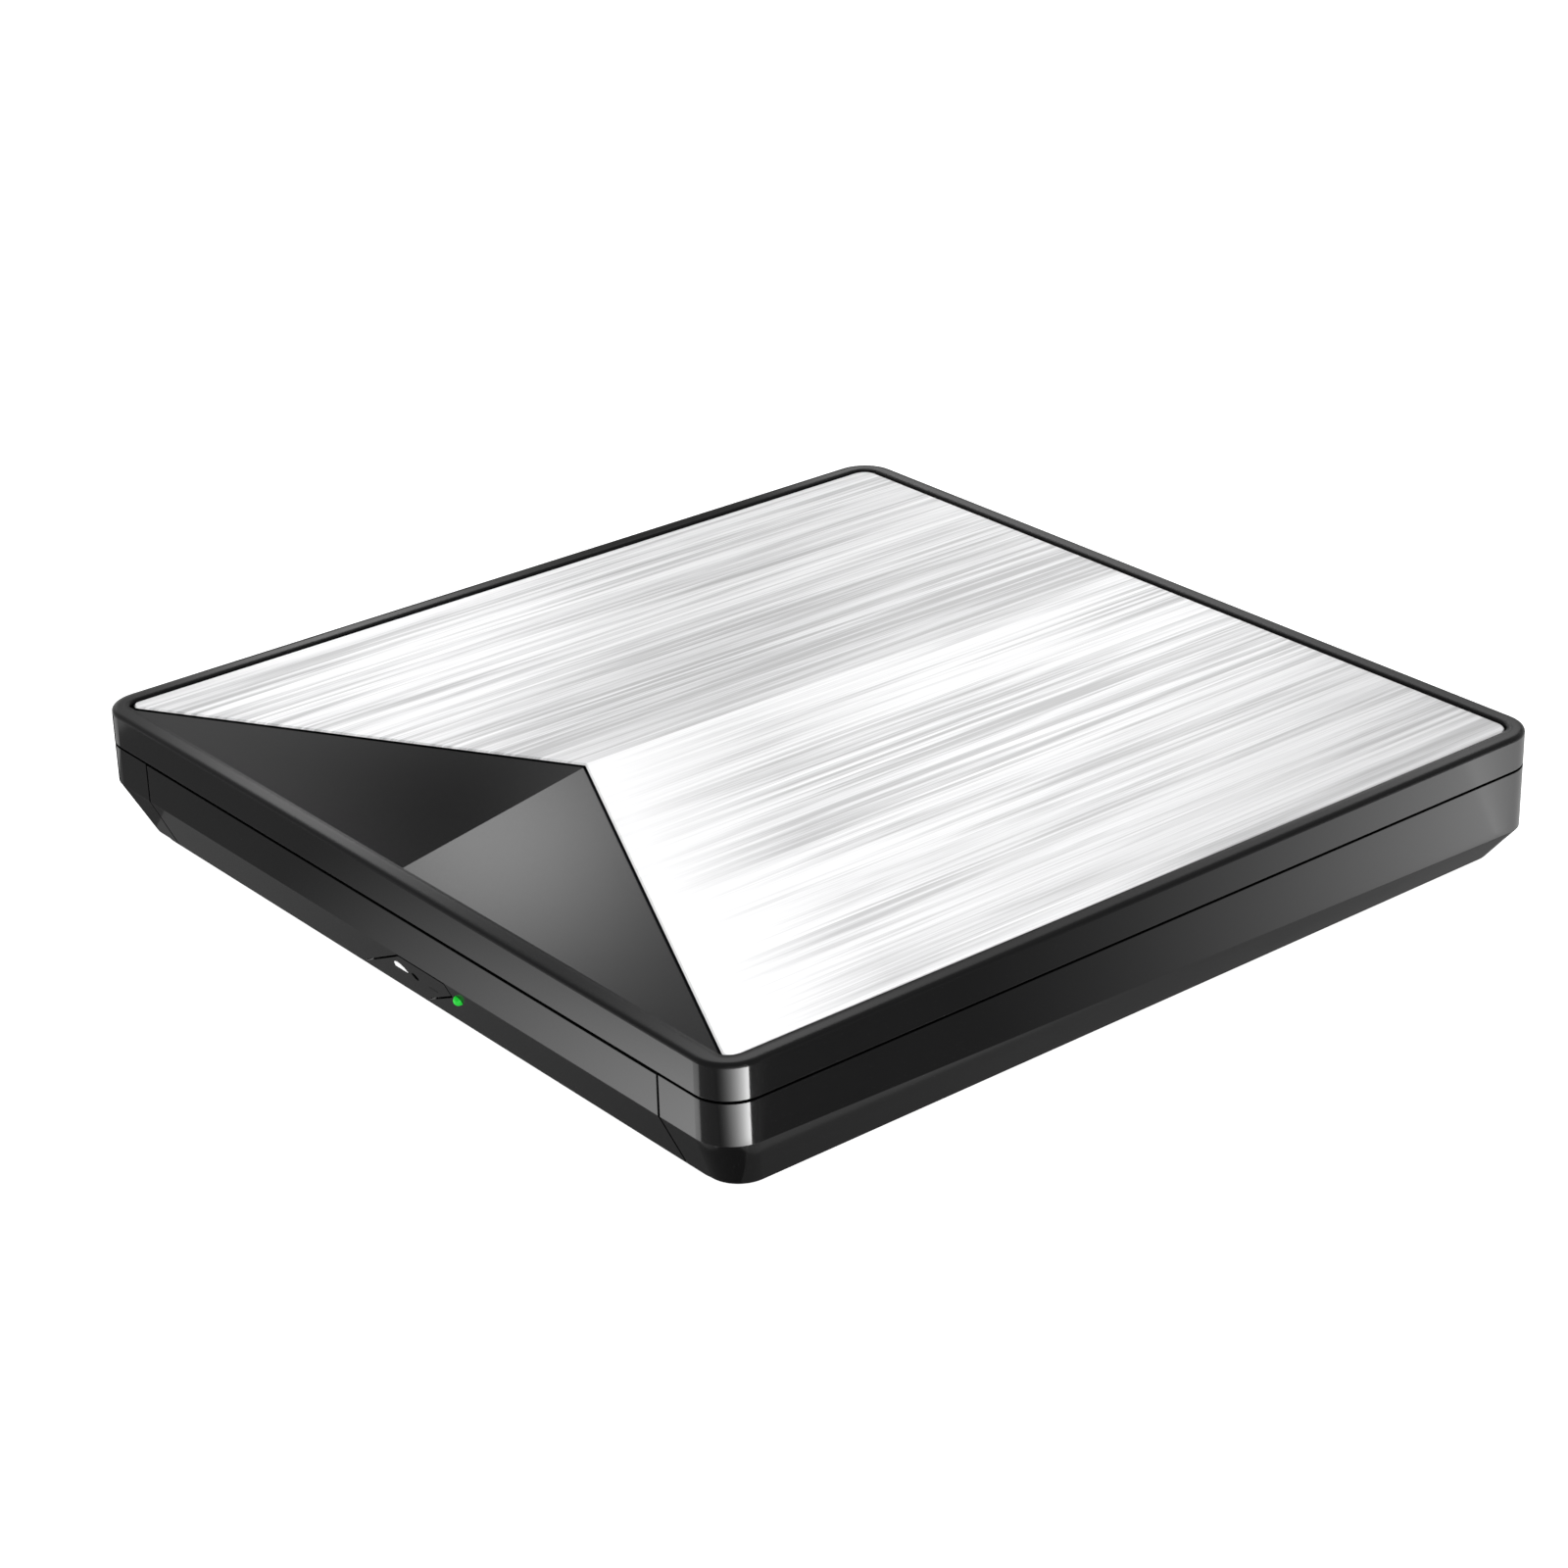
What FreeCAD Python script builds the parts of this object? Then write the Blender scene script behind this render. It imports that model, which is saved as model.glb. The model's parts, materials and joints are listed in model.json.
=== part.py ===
import FreeCAD, Part
import os

import Sketcher

# External optical drive: a 12.7 mm slim tray drive in a plastic case with a USB socket at the back.
# Millimetres.  X runs to the right as one faces the tray front, Y runs to the back, Z runs up.
# The origin is under the middle of the case, level with the bottoms of the feet.

SIZES = {
    # outer case
    "case_width": 152.0,
    "case_depth": 153.7,
    "wall": 2.2,
    "corner_radius": 5.8,
    "foot_corner_radius": 4.7,
    "base_bottom": 0.8,
    "base_floor": 2.6,
    "taper_front": 9.2,
    "taper_rear": 5.5,
    "taper_in_front": 4.13,
    "taper_in_side": 3.53,
    "taper_in_back": 3.29,
    "parting": 15.75,
    "parting_gap": 0.4,
    "rim_top": 21.0,
    "skin_under": 18.2,
    "edge_round": 0.5,
    # aluminium panel and the notch in its front edge
    "panel_inset": 3.0,
    "panel_seat": 19.9,
    "panel_top": 20.75,
    "panel_gap": 0.3,
    "panel_corner": 2.6,
    "panel_bevel": 0.25,
    "notch_apex_side": -8.9,
    "notch_apex_front": 42.3,
    "notch_edge": 20.35,
    "notch_low_side": -0.8,
    "notch_low": 19.25,
    "notch_groove": 0.4,
    # tray front
    "bezel_half": 62.4,
    "slot_half": 62.8,
    "bezel_gap": 0.5,
    "bezel_wall": 1.8,
    "floor_gap": 1.2,
    # feet and case screws
    "foot_radius": 5.0,
    "foot_side": 57.0,
    "foot_end": 60.0,
    "screw_side": 68.0,
    "screw_end": 62.0,
    "boss_radius": 2.9,
    "shank_radius": 1.0,
    "head_radius": 1.9,
    "recess_wide": 0.5,
    "recess_deep": 0.4,
    # steel pan and cover of the slim drive
    "pan_half": 64.0,
    "pan_front": -70.4,
    "pan_rear": 55.5,
    "pan_bottom": 3.6,
    "pan_sheet": 0.7,
    "lid_under": 15.8,
    "lid_sheet": 0.5,
    # runners at each side of the tray
    "rail_web": 1.0,
    "rail_low": 9.0,
    "rail_high": 15.0,
    "rail_lip": 0.8,
    "slide_inner": 60.7,
    "slide_outer": 62.0,
    "slide_low": 10.1,
    "slide_high": 13.9,
    "slide_front": -60.0,
    "slide_rear": 50.0,
    # tray
    "tray_half": 60.4,
    "tray_front": -72.4,
    "tray_rear": 48.7,
    "tray_bottom": 6.0,
    "tray_skin": 10.6,
    "tray_top": 14.9,
    "tray_wall": 1.5,
    "disc_back": -9.3,
    "well_radius": 60.8,
    "well_floor": 11.6,
    # traverse unit under the tray, in its own frame: along is the way of the sled
    "traverse_turn": 225.0,
    "base_low": 6.2,
    "base_high": 6.9,
    "module_near": 17.0,
    "module_far": 66.0,
    "module_half": 19.0,
    "rod_radius": 1.2,
    "rod_level": 8.7,
    "main_rod_side": -11.0,
    "sub_rod_side": 13.5,
    "screw_line_side": -15.6,
    "lens_near": 24.0,
    "running_gap": 0.05,
    # spindle
    "rotor_radius": 11.0,
    "table_radius": 13.2,
    "disc_seat": 12.8,
    "hub_radius": 7.35,
    "hub_top": 15.3,
    "claw_low": 14.0,
    "claw_high": 14.7,
    "claw_reach": 7.9,
    # eject button and status light, on the tray front
    "button_left": -11.7,
    "button_width": 15.0,
    "button_slant": 1.87,
    "button_right_limit": 14.3,
    "button_gap": 0.35,
    "light_side": 16.1,
    "light_level": 6.7,
    "light_radius": 0.75,
    "pin_hole_side": 4.9,
    "pin_hole_level": 5.7,
    "pin_hole_radius": 0.7,
    # bridge board and socket at the back
    "board_thick": 1.2,
    "bridge_level": 5.2,
    "bridge_front": 60.0,
    "bridge_rear": 73.6,
    "socket_side": 30.0,
    "socket_half": 4.47,
    "socket_low": 6.4,
    "socket_high": 9.66,
    "socket_depth": 7.35,
    "socket_shell": 0.3,
}

DOC = FreeCAD.newDocument("optical_drive")
SHEET = DOC.addObject("Spreadsheet::Sheet", "Sizes")
NODES = {}
VECTOR = FreeCAD.Vector


class Size:
    """A length: its number, and the sheet expression that gives it."""

    def __init__(self, number, text):
        self.number = number
        self.text = text

    def __add__(self, other):
        other = as_size(other)
        return Size(self.number + other.number, f"({self.text} + {other.text})")

    def __radd__(self, other):
        return as_size(other) + self

    def __sub__(self, other):
        other = as_size(other)
        return Size(self.number - other.number, f"({self.text} - {other.text})")

    def __rsub__(self, other):
        return as_size(other) - self

    def __mul__(self, other):
        other = as_size(other)
        return Size(self.number * other.number, f"({self.text} * {other.text})")

    def __rmul__(self, other):
        return self * other

    def __truediv__(self, other):
        other = as_size(other)
        return Size(self.number / other.number, f"({self.text} / {other.text})")

    def __neg__(self):
        return Size(-self.number, f"(0 - {self.text})")


def as_size(value):
    if isinstance(value, Size):
        return value
    return Size(float(value), f"({float(value)!r})")


class Sheet:
    """The sheet's cells as Size attributes."""


def fill_sheet():
    """Write every driving dimension into the sheet, one aliased cell each."""
    sheet = Sheet()
    for row, (name, number) in enumerate(SIZES.items(), start=1):
        SHEET.set(f"A{row}", name)
        SHEET.set(f"B{row}", str(number))
        SHEET.setAlias(f"B{row}", name)
        setattr(sheet, name, Size(number, f"Sizes.{name}"))
    DOC.recompute()
    return sheet


# ---------------------------------------------------------------- modelling helpers

def bind(item, prop, value):
    item.setExpression(prop, as_size(value).text)


def bind_place(item, x=0, y=0, z=0):
    for letter, value in zip("xyz", (x, y, z)):
        bind(item, f"Placement.Base.{letter}", value)


def box(name, x, y, z):
    """A box between the pairs of limits x, y and z."""
    item = DOC.addObject("Part::Box", name)
    for prop, (low, high) in zip(("Length", "Width", "Height"), (x, y, z)):
        bind(item, prop, high - as_size(low))
    bind_place(item, x[0], y[0], z[0])
    return item


TURNS = {
    "x": FreeCAD.Rotation(VECTOR(0, 1, 0), 90),
    "y": FreeCAD.Rotation(VECTOR(1, 0, 0), -90),
    "z": FreeCAD.Rotation(),
}


def cylinder(name, radius, start, length, along="z"):
    """A cylinder from the point start, along +X, +Y or +Z."""
    item = DOC.addObject("Part::Cylinder", name)
    bind(item, "Radius", radius)
    bind(item, "Height", length)
    item.Placement = FreeCAD.Placement(VECTOR(), TURNS[along])
    bind_place(item, *start)
    return item


def fuse(name, *items):
    item = DOC.addObject("Part::MultiFuse", name)
    item.Shapes = list(items)
    return item


def group(name, items):
    """Separate solids that share one node."""
    item = DOC.addObject("Part::Compound", name)
    item.Links = list(items)
    return item


def cut(name, base, *tools):
    item = DOC.addObject("Part::Cut", name)
    item.Base = base
    item.Tool = tools[0] if len(tools) == 1 else fuse(name + "_tools", *tools)
    return item


def common(name, first, second):
    item = DOC.addObject("Part::MultiCommon", name)
    item.Shapes = [first, second]
    return item


def new_sketch(body, name, plane, offset=0):
    """A sketch on one of the body's own origin planes, moved along the plane's normal."""
    sketch = body.newObject("Sketcher::SketchObject", name)
    support = [item for item in body.Origin.OriginFeatures if item.Role == plane]
    sketch.AttachmentSupport = [(support[0], "")]
    sketch.MapMode = "FlatFace"
    bind(sketch, "AttachmentOffset.Base.z", offset)
    return sketch


def pin_point(sketch, edge, end, x, y, tag):
    """Hold one end of a sketch edge at x, y, both bound to the sheet."""
    for kind, letter, value in (("DistanceX", "x", x), ("DistanceY", "y", y)):
        value = as_size(value)
        index = sketch.addConstraint(Sketcher.Constraint(kind, -1, 1, edge, end, value.number))
        sketch.renameConstraint(index, f"{letter}{tag}")
        bind(sketch, f"Constraints.{letter}{tag}", value)


def draw_polygon(sketch, points):
    """A closed outline of straight edges through the points."""
    places = [VECTOR(as_size(x).number, as_size(y).number, 0) for x, y in points]
    count = len(places)
    for index in range(count):
        edge = Part.LineSegment(places[index], places[(index + 1) % count])
        sketch.addGeometry(edge, False)
    for index in range(count):
        sketch.addConstraint(Sketcher.Constraint("Coincident", index, 2, (index + 1) % count, 1))
    for index, (x, y) in enumerate(points):
        pin_point(sketch, index, 1, x, y, index)


def draw_rounded(sketch, x, y, radius):
    """A rectangle between the limits x and y with round corners; x, y are pairs of Sizes."""
    left, right = (as_size(value) for value in x)
    low, high = (as_size(value) for value in y)
    radius = as_size(radius)
    turn = radius.number
    quarter = 1.5707963267948966
    centres = [
        (right.number - turn, high.number - turn),
        (left.number + turn, high.number - turn),
        (left.number + turn, low.number + turn),
        (right.number - turn, low.number + turn),
    ]
    for index, (across, up) in enumerate(centres):
        circle = Part.Circle(VECTOR(across, up, 0), VECTOR(0, 0, 1), turn)
        arc = Part.ArcOfCircle(circle, index * quarter, (index + 1) * quarter)
        sketch.addGeometry(arc, False)
    for index in range(4):
        start = sketch.Geometry[index].EndPoint
        finish = sketch.Geometry[(index + 1) % 4].StartPoint
        sketch.addGeometry(Part.LineSegment(start, finish), False)
    for index in range(4):
        sketch.addConstraint(Sketcher.Constraint("Tangent", index, 2, 4 + index, 1))
        sketch.addConstraint(Sketcher.Constraint("Tangent", 4 + index, 2, (index + 1) % 4, 1))
    for index, kind in enumerate(("Horizontal", "Vertical", "Horizontal", "Vertical")):
        sketch.addConstraint(Sketcher.Constraint(kind, 4 + index))
    for index in range(1, 4):
        sketch.addConstraint(Sketcher.Constraint("Equal", 0, index))
    index = sketch.addConstraint(Sketcher.Constraint("Radius", 0, turn))
    sketch.renameConstraint(index, "turn")
    bind(sketch, "Constraints.turn", radius)
    sides = ((4, "DistanceY", high), (5, "DistanceX", left), (6, "DistanceY", low), (7, "DistanceX", right))
    for edge, kind, value in sides:
        index = sketch.addConstraint(Sketcher.Constraint(kind, -1, 1, edge, 1, value.number))
        sketch.renameConstraint(index, f"side{edge}")
        bind(sketch, f"Constraints.side{edge}", value)


def new_body(name):
    return DOC.addObject("PartDesign::Body", name)


def add_pad(body, sketch, length, kind="Pad"):
    """Pad, or pocket, the sketch by a length along its normal."""
    feature = body.newObject(f"PartDesign::{kind}", f"{sketch.Name}_{kind.lower()}")
    feature.Profile = sketch
    bind(feature, "Length", length)
    if kind == "Pocket":
        feature.Reversed = True
    sketch.Visibility = False
    body.Tip = feature
    return feature


PLANES = {"x": "YZ_Plane", "y": "XZ_Plane", "z": "XY_Plane"}


def prism(name, along, limits, points):
    """A body padded between two limits along X, Y or Z from a straight-edged outline."""
    body = new_body(name)
    low, high = (as_size(value) for value in limits)
    start = -high if along == "y" else low
    sketch = new_sketch(body, name + "_outline", PLANES[along], start)
    draw_polygon(sketch, points)
    add_pad(body, sketch, high - low)
    return body


def rounded_plate(name, x, y, z, radius):
    """A body between the limits x, y and z with round corners, seen from above."""
    body = new_body(name)
    sketch = new_sketch(body, name + "_outline", "XY_Plane", z[0])
    draw_rounded(sketch, x, y, radius)
    add_pad(body, sketch, as_size(z[1]) - z[0])
    return body


def turned(name, points):
    """A body turned about Z from an outline of radius and height pairs."""
    body = new_body(name)
    sketch = new_sketch(body, name + "_outline", "XZ_Plane")
    draw_polygon(sketch, points)
    feature = body.newObject("PartDesign::Revolution", name + "_turn")
    feature.Profile = sketch
    feature.ReferenceAxis = (sketch, ["V_Axis"])
    feature.Angle = 360.0
    body.Tip = feature
    return body


def tube_points(inner, outer, low, high):
    return [(inner, low), (outer, low), (outer, high), (inner, high)]


def edges_where(shape, test):
    """The names of the edges whose two ends and middle pass the test."""
    names = []
    for index, edge in enumerate(shape.Edges, start=1):
        ends = edge.Vertexes[0].Point, edge.Vertexes[-1].Point
        middle = edge.valueAt((edge.FirstParameter + edge.LastParameter) / 2)
        if test(ends[0], ends[1], middle):
            names.append(f"Edge{index}")
    return names


def dress(body, kind, size, test):
    """Round or bevel the edges of the body that pass the test."""
    DOC.recompute()
    base = body.Tip
    feature = body.newObject(f"PartDesign::{kind}", f"{body.Name}_{kind.lower()}")
    feature.Base = (base, edges_where(base.Shape, test))
    bind(feature, "Radius" if kind == "Fillet" else "Size", size)
    body.Tip = feature
    return feature


def node(label, item):
    """Name one physical piece; its label is the name of its file."""
    item.Label = label
    NODES[label] = item
    return item


def on_spindle(item):
    """Place a piece that is drawn in the traverse unit's own frame; the sheet gives the angle."""
    item.Placement = FreeCAD.Placement(VECTOR(), FreeCAD.Rotation(VECTOR(0, 0, 1), 1))
    bind(item, "Placement.Rotation.Angle", S.traverse_turn)
    bind(item, "Placement.Base.y", S.disc_back)
    return item


S = fill_sheet()
HALF_WIDTH = S.case_width / 2
HALF_DEPTH = S.case_depth / 2
PANEL_SIDE = HALF_WIDTH - S.panel_inset
PANEL_END = HALF_DEPTH - S.panel_inset
GROOVE_LOW = S.parting - S.parting_gap
BEZEL_TOP = S.parting - S.bezel_gap
MAIN_BOARD_LOW = S.pan_bottom + S.pan_sheet + 0.6
BEYOND = 2.0    # how far a cutting tool runs past the face that it leaves by


def both_ways(half):
    return (-half, half)


def corner_places(side, end):
    return [(side, end), (-side, end), (-side, -end), (side, -end)]


def rounded_bar(name, x, y, z, radius):
    """A body between the limits x, y and z with round corners, seen along Y."""
    body = new_body(name)
    sketch = new_sketch(body, name + "_outline", "XZ_Plane", -as_size(y[1]))
    draw_rounded(sketch, x, z, radius)
    add_pad(body, sketch, y[1] - as_size(y[0]))
    return body


def mirrored(points, side):
    """Outline points on the right, or their mirror image on the left."""
    return [(as_size(x) * side, y) for x, y in points]


def spindle_group(name, items):
    return on_spindle(group(name, items))


def spindle_prism(name, limits, points):
    """A prism along Z, drawn in the traverse unit's frame and placed on the spindle."""
    return on_spindle(prism(name, "z", limits, points))


def rectangle(x, y):
    return [(x[0], y[0]), (x[1], y[0]), (x[1], y[1]), (x[0], y[1])]


def screw(name, place, tip, under_head, head_radius, head_high):
    """A pan-head screw with a cross recess, pointing up, or down where the tip is below the head."""
    way = 1 if as_size(tip).number > as_size(under_head).number else -1
    head_top = under_head - as_size(head_high) * way
    body = turned(name, [
        (0, tip), (S.shank_radius, tip), (S.shank_radius, under_head), (head_radius, under_head),
        (head_radius, head_top), (0, head_top)])
    low, high = sorted((head_top - S.recess_deep, head_top + S.recess_deep), key=lambda size: size.number)
    long_way = both_ways(as_size(head_radius) * 0.62)
    short_way = both_ways(S.recess_wide / 2)
    bars = [
        box(name + "_recess", x, y, (low, high))
        for x, y in ((long_way, short_way), (short_way, long_way))]
    item = cut(name + "_cut", body, *bars)
    bind_place(item, *place)
    return item


# ---------------------------------------------------------------- case

BOARD_POSTS = [(as_size(-38.0), as_size(67.0)), (as_size(14.0), as_size(67.0))]


def notch_corners():
    """The notch's four corners: apex, left tip, low point and right tip, each x, y, z."""
    apex = (S.notch_apex_side, -HALF_DEPTH + S.notch_apex_front, S.notch_edge)
    left = (-PANEL_SIDE, -PANEL_END, S.notch_edge)
    low = (S.notch_low_side, -PANEL_END, S.notch_low)
    right = (PANEL_SIDE, -PANEL_END, S.notch_edge)
    return apex, left, low, right


def facet_space(name, corners):
    """The space above one sloping facet, as a prism that stands on it."""
    points = [VECTOR(*(value.number for value in corner)) for corner in corners]
    face = Part.Face(Part.makePolygon(points + points[:1]))
    item = DOC.addObject("Part::Feature", name)
    item.Shape = face.extrude(VECTOR(0, 0, S.wall.number * 2))
    return item


def make_top_cover():
    """Lid of the case: rim band, skin, seat of the panel, and the two facets of the notch."""
    outer = rounded_plate(
        "cover_outer", both_ways(HALF_WIDTH), both_ways(HALF_DEPTH), (S.parting, S.rim_top), S.corner_radius)
    top = S.rim_top.number
    dress(outer, "Fillet", S.edge_round, lambda a, b, c: min(a.z, b.z, c.z) > top - 0.01)
    inside = rounded_plate(
        "cover_inside", both_ways(HALF_WIDTH - S.wall), both_ways(HALF_DEPTH - S.wall),
        (S.parting - BEYOND, S.skin_under), S.corner_radius - S.wall)
    shell = cut("cover_shell", outer, inside)
    bosses = [
        cylinder("cover_boss", S.boss_radius, (x, y, S.parting), S.skin_under + 0.5 - S.parting)
        for x, y in corner_places(S.screw_side, S.screw_end)]
    bores = [
        cylinder("cover_bore", S.shank_radius + S.running_gap, (x, y, S.parting - BEYOND), BEYOND + 2.0)
        for x, y in corner_places(S.screw_side, S.screw_end)]
    solid = fuse("cover_solid", shell, *bosses)

    seat_side = both_ways(PANEL_SIDE + S.panel_gap)
    seat_end = both_ways(PANEL_END + S.panel_gap)
    above = S.rim_top + BEYOND
    seat_corner = S.panel_corner + S.panel_gap
    seat = rounded_plate("panel_seat_space", seat_side, seat_end, (S.panel_seat, above), seat_corner)
    reach = rounded_plate("facet_reach", seat_side, seat_end, (S.skin_under, above), seat_corner)
    apex, left, low, right = notch_corners()
    notch = prism("notch_block", "z", (S.skin_under, above), [
        (corner[0], corner[1] - S.notch_groove) for corner in (apex, left, right)])
    seat_cut = cut("panel_seat_cut", seat, notch)
    facets = fuse(
        "facet_spaces", facet_space("left_facet_space", (apex, left, low)),
        facet_space("right_facet_space", (apex, low, right)))
    facet_cut = common("facet_cut", facets, reach)
    return node("top_cover", cut("top_cover_solid", solid, seat_cut, facet_cut, *bores))


def make_top_panel():
    """Brushed aluminium sheet with the V notch, its edge bevelled and polished."""
    apex = notch_corners()[0]
    outline = [
        (-PANEL_SIDE, -PANEL_END), apex[:2], (PANEL_SIDE, -PANEL_END),
        (PANEL_SIDE, PANEL_END), (-PANEL_SIDE, PANEL_END)]
    body = prism("top_panel_body", "z", (S.panel_seat, S.panel_top), outline)
    end = PANEL_END.number

    def upright(a, b):
        return abs(a.x - b.x) + abs(a.y - b.y) < 0.01

    dress(body, "Fillet", S.panel_corner, lambda a, b, c: upright(a, b) and c.y > end - 0.1)
    tips = dress(body, "Fillet", S.panel_corner / 2, lambda a, b, c: upright(a, b) and c.y < 0.1 - end)
    tips.Label = "tip_rounds"
    top = S.panel_top.number
    dress(body, "Chamfer", S.panel_bevel, lambda a, b, c: min(a.z, b.z, c.z) > top - 0.01)
    return node("top_panel", body)


def loft_sections(body, name, insets, low, top):
    """Three outlines for a loft: at a low level, on the sloping taper line, and at the top."""
    front, side, back, wall = insets
    drop = S.taper_front - S.taper_rear
    middle = (S.taper_rear + S.taper_front) / 2
    base = new_sketch(body, name + "_base", "XY_Plane", low)
    draw_rounded(
        base, both_ways(HALF_WIDTH - wall - side),
        (-(HALF_DEPTH - wall - front), HALF_DEPTH - wall - back), S.foot_corner_radius - wall * 0.5)
    line = new_sketch(body, name + "_line", "XY_Plane", middle)
    line.AttachmentOffset = FreeCAD.Placement(VECTOR(), FreeCAD.Rotation(VECTOR(-1, 0, 0), 1))
    line.setExpression("AttachmentOffset.Rotation.Angle", f"atan({(drop / S.case_depth).text})")
    corner = S.corner_radius - wall
    draw_rounded(line, both_ways(HALF_WIDTH - wall), both_ways(HALF_DEPTH - wall), corner)
    upper = new_sketch(body, name + "_top", "XY_Plane", top)
    draw_rounded(upper, both_ways(HALF_WIDTH - wall), both_ways(HALF_DEPTH - wall), corner)
    return base, line, upper


def add_loft(body, sections, kind):
    loft = body.newObject(f"PartDesign::{kind}Loft", f"{body.Name}_{kind.lower()}_loft")
    loft.Profile = sections[0]
    loft.Sections = list(sections[1:])
    loft.Ruled = True
    body.Tip = loft


def case_tub():
    """The lower case's tub: upright walls over a tapered foot whose edge slopes down to the rear."""
    body = new_body("case_tub")
    outside = (S.taper_in_front, S.taper_in_side, S.taper_in_back, as_size(0))
    add_loft(body, loft_sections(body, "tub_outer", outside, S.base_bottom, S.parting), "Additive")
    inside = (S.taper_in_front, S.taper_in_side, S.taper_in_back, S.wall)
    add_loft(body, loft_sections(body, "tub_inner", inside, S.base_floor, S.parting + BEYOND), "Subtractive")
    opening = new_sketch(body, "slot_outline", "XY_Plane", -BEYOND)
    floor_front = -HALF_DEPTH + S.taper_in_front + S.bezel_wall + S.floor_gap
    draw_polygon(opening, [
        (-S.slot_half, -HALF_DEPTH - BEYOND), (S.slot_half, -HALF_DEPTH - BEYOND),
        (S.slot_half, floor_front), (-S.slot_half, floor_front)])
    add_pad(body, opening, S.parting + 2 * BEYOND, "Pocket")
    return body


def make_bottom_cover():
    """Lower case: tub, screw bosses, ribs under and beside the drive, and the socket's opening."""
    tub = case_tub()
    rib_run = (S.pan_front + 12, S.pan_rear - 12)
    drive_ribs = [
        box("drive_rib", (x - 1.5, x + 1.5), rib_run, (S.base_floor, S.pan_bottom))
        for x in (-S.pan_half / 2, S.pan_half / 2)]
    side_ribs = [
        box("side_rib", x, (y - 6, y + 6), (S.base_floor - 0.2, S.rail_low))
        for x in ((-S.pan_half - 2.4, -S.pan_half - 0.8), (S.pan_half + 0.8, S.pan_half + 2.4))
        for y in (-25.0, 25.0)]
    bosses = [
        cylinder("case_boss", S.boss_radius, (x, y, S.base_floor - 0.2), S.parting - S.base_floor + 0.2)
        for x, y in corner_places(S.screw_side, S.screw_end)]
    board_posts = [
        cylinder("board_post", 2.4, (x, y, S.base_floor - 0.2), S.bridge_level - S.base_floor + 0.2)
        for x, y in BOARD_POSTS]
    solid = fuse("case_solid", tub, *drive_ribs, *side_ribs, *bosses, *board_posts)

    bores = [
        cylinder("case_bore", S.shank_radius + S.running_gap, (x, y, 0), S.parting + BEYOND)
        for x, y in corner_places(S.screw_side, S.screw_end)]
    sinks = [
        cylinder("head_sink", S.head_radius + 0.15, (x, y, 0), S.base_bottom + 1.6)
        for x, y in corner_places(S.screw_side, S.screw_end)]
    foot_seats = [
        cylinder("foot_seat", S.foot_radius + 0.15, (x, y, 0), S.base_bottom + 0.5)
        for x, y in corner_places(S.foot_side, S.foot_end)]
    board_bores = [
        cylinder("board_bore", S.shank_radius + S.running_gap, (x, y, S.base_floor), BEYOND + S.bridge_level)
        for x, y in BOARD_POSTS]
    socket_hole = rounded_bar(
        "socket_hole", (S.socket_side - S.socket_half - 0.2, S.socket_side + S.socket_half + 0.2),
        (HALF_DEPTH - S.wall - BEYOND, HALF_DEPTH + BEYOND), (S.socket_low - 0.2, S.socket_high + 0.2), 1.7)
    groove = cut(
        "parting_groove",
        box("groove_outer", both_ways(HALF_WIDTH + 1), both_ways(HALF_DEPTH + 1),
            (GROOVE_LOW, S.parting + 1)),
        rounded_plate("groove_inner", both_ways(HALF_WIDTH - S.wall / 2), both_ways(HALF_DEPTH - S.wall / 2),
                      (GROOVE_LOW - 1, S.parting + BEYOND), S.corner_radius - S.wall / 2))
    return node("bottom_cover", cut(
        "case_cut", solid, socket_hole, groove, *bores, *sinks, *foot_seats, *board_bores))


def make_feet():
    """Four rubber discs, each let into a seat in the base."""
    feet = []
    for x, y in corner_places(S.foot_side, S.foot_end):
        top = S.base_bottom + 0.5
        foot = turned("foot", [
            (0, 0), (S.foot_radius - 0.4, 0), (S.foot_radius, 0.4), (S.foot_radius, top), (0, top)])
        bind_place(foot, x, y)
        feet.append(foot)
    return node("rubber_feet", group("feet_group", feet))


def make_case_screws():
    screws = [
        screw("case_screw", place, S.parting + 1.8, S.base_bottom + 1.6, S.head_radius, 1.3)
        for place in corner_places(S.screw_side, S.screw_end)]
    return node("case_screws", group("case_screw_group", screws))


# ---------------------------------------------------------------- steel pan and lid

LATCH_POST = (45.5, -60.0)
LID_SCREWS = [(as_size(56.5), as_size(52.5)), (as_size(-56.5), as_size(52.5))]


def make_pan():
    """Pressed steel pan of the drive, with lid tabs, board rests and the latch's post."""
    sheet = S.pan_sheet
    floor_top = S.pan_bottom + sheet
    outer = box("pan_outer", both_ways(S.pan_half), (S.pan_front, S.pan_rear), (S.pan_bottom, S.lid_under))
    inner = box("pan_inner", both_ways(S.pan_half - sheet), (S.pan_front - BEYOND, S.pan_rear - sheet),
                (floor_top, S.lid_under + BEYOND))
    tabs = [
        box("lid_tab", (x - 3.5, x + 3.5), (S.pan_rear - 5.3, S.pan_rear - sheet / 2), (12.0, S.lid_under))
        for x, y in LID_SCREWS]
    rooted = S.pan_bottom + sheet / 2
    rests = [
        cylinder("board_rest", 2.0, (x, y, rooted), MAIN_BOARD_LOW - rooted)
        for x, y in ((-50.0, 26.0), (50.0, 26.0), (-50.0, 48.0), (50.0, 48.0))]
    post = cylinder("latch_post", 1.2, (*LATCH_POST, rooted), 3.4)
    solid = fuse("pan_solid", cut("pan_tray", outer, inner), post, *tabs, *rests)
    window = box("connector_window", (-13.0, 25.0), (S.pan_rear - BEYOND, S.pan_rear + BEYOND), (4.6, 10.4))
    bores = [
        cylinder("tab_bore", S.shank_radius + S.running_gap, (x, y, 12.4), S.lid_under)
        for x, y in LID_SCREWS]
    return node("drive_pan", cut("pan_cut", solid, window, *bores))


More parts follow.
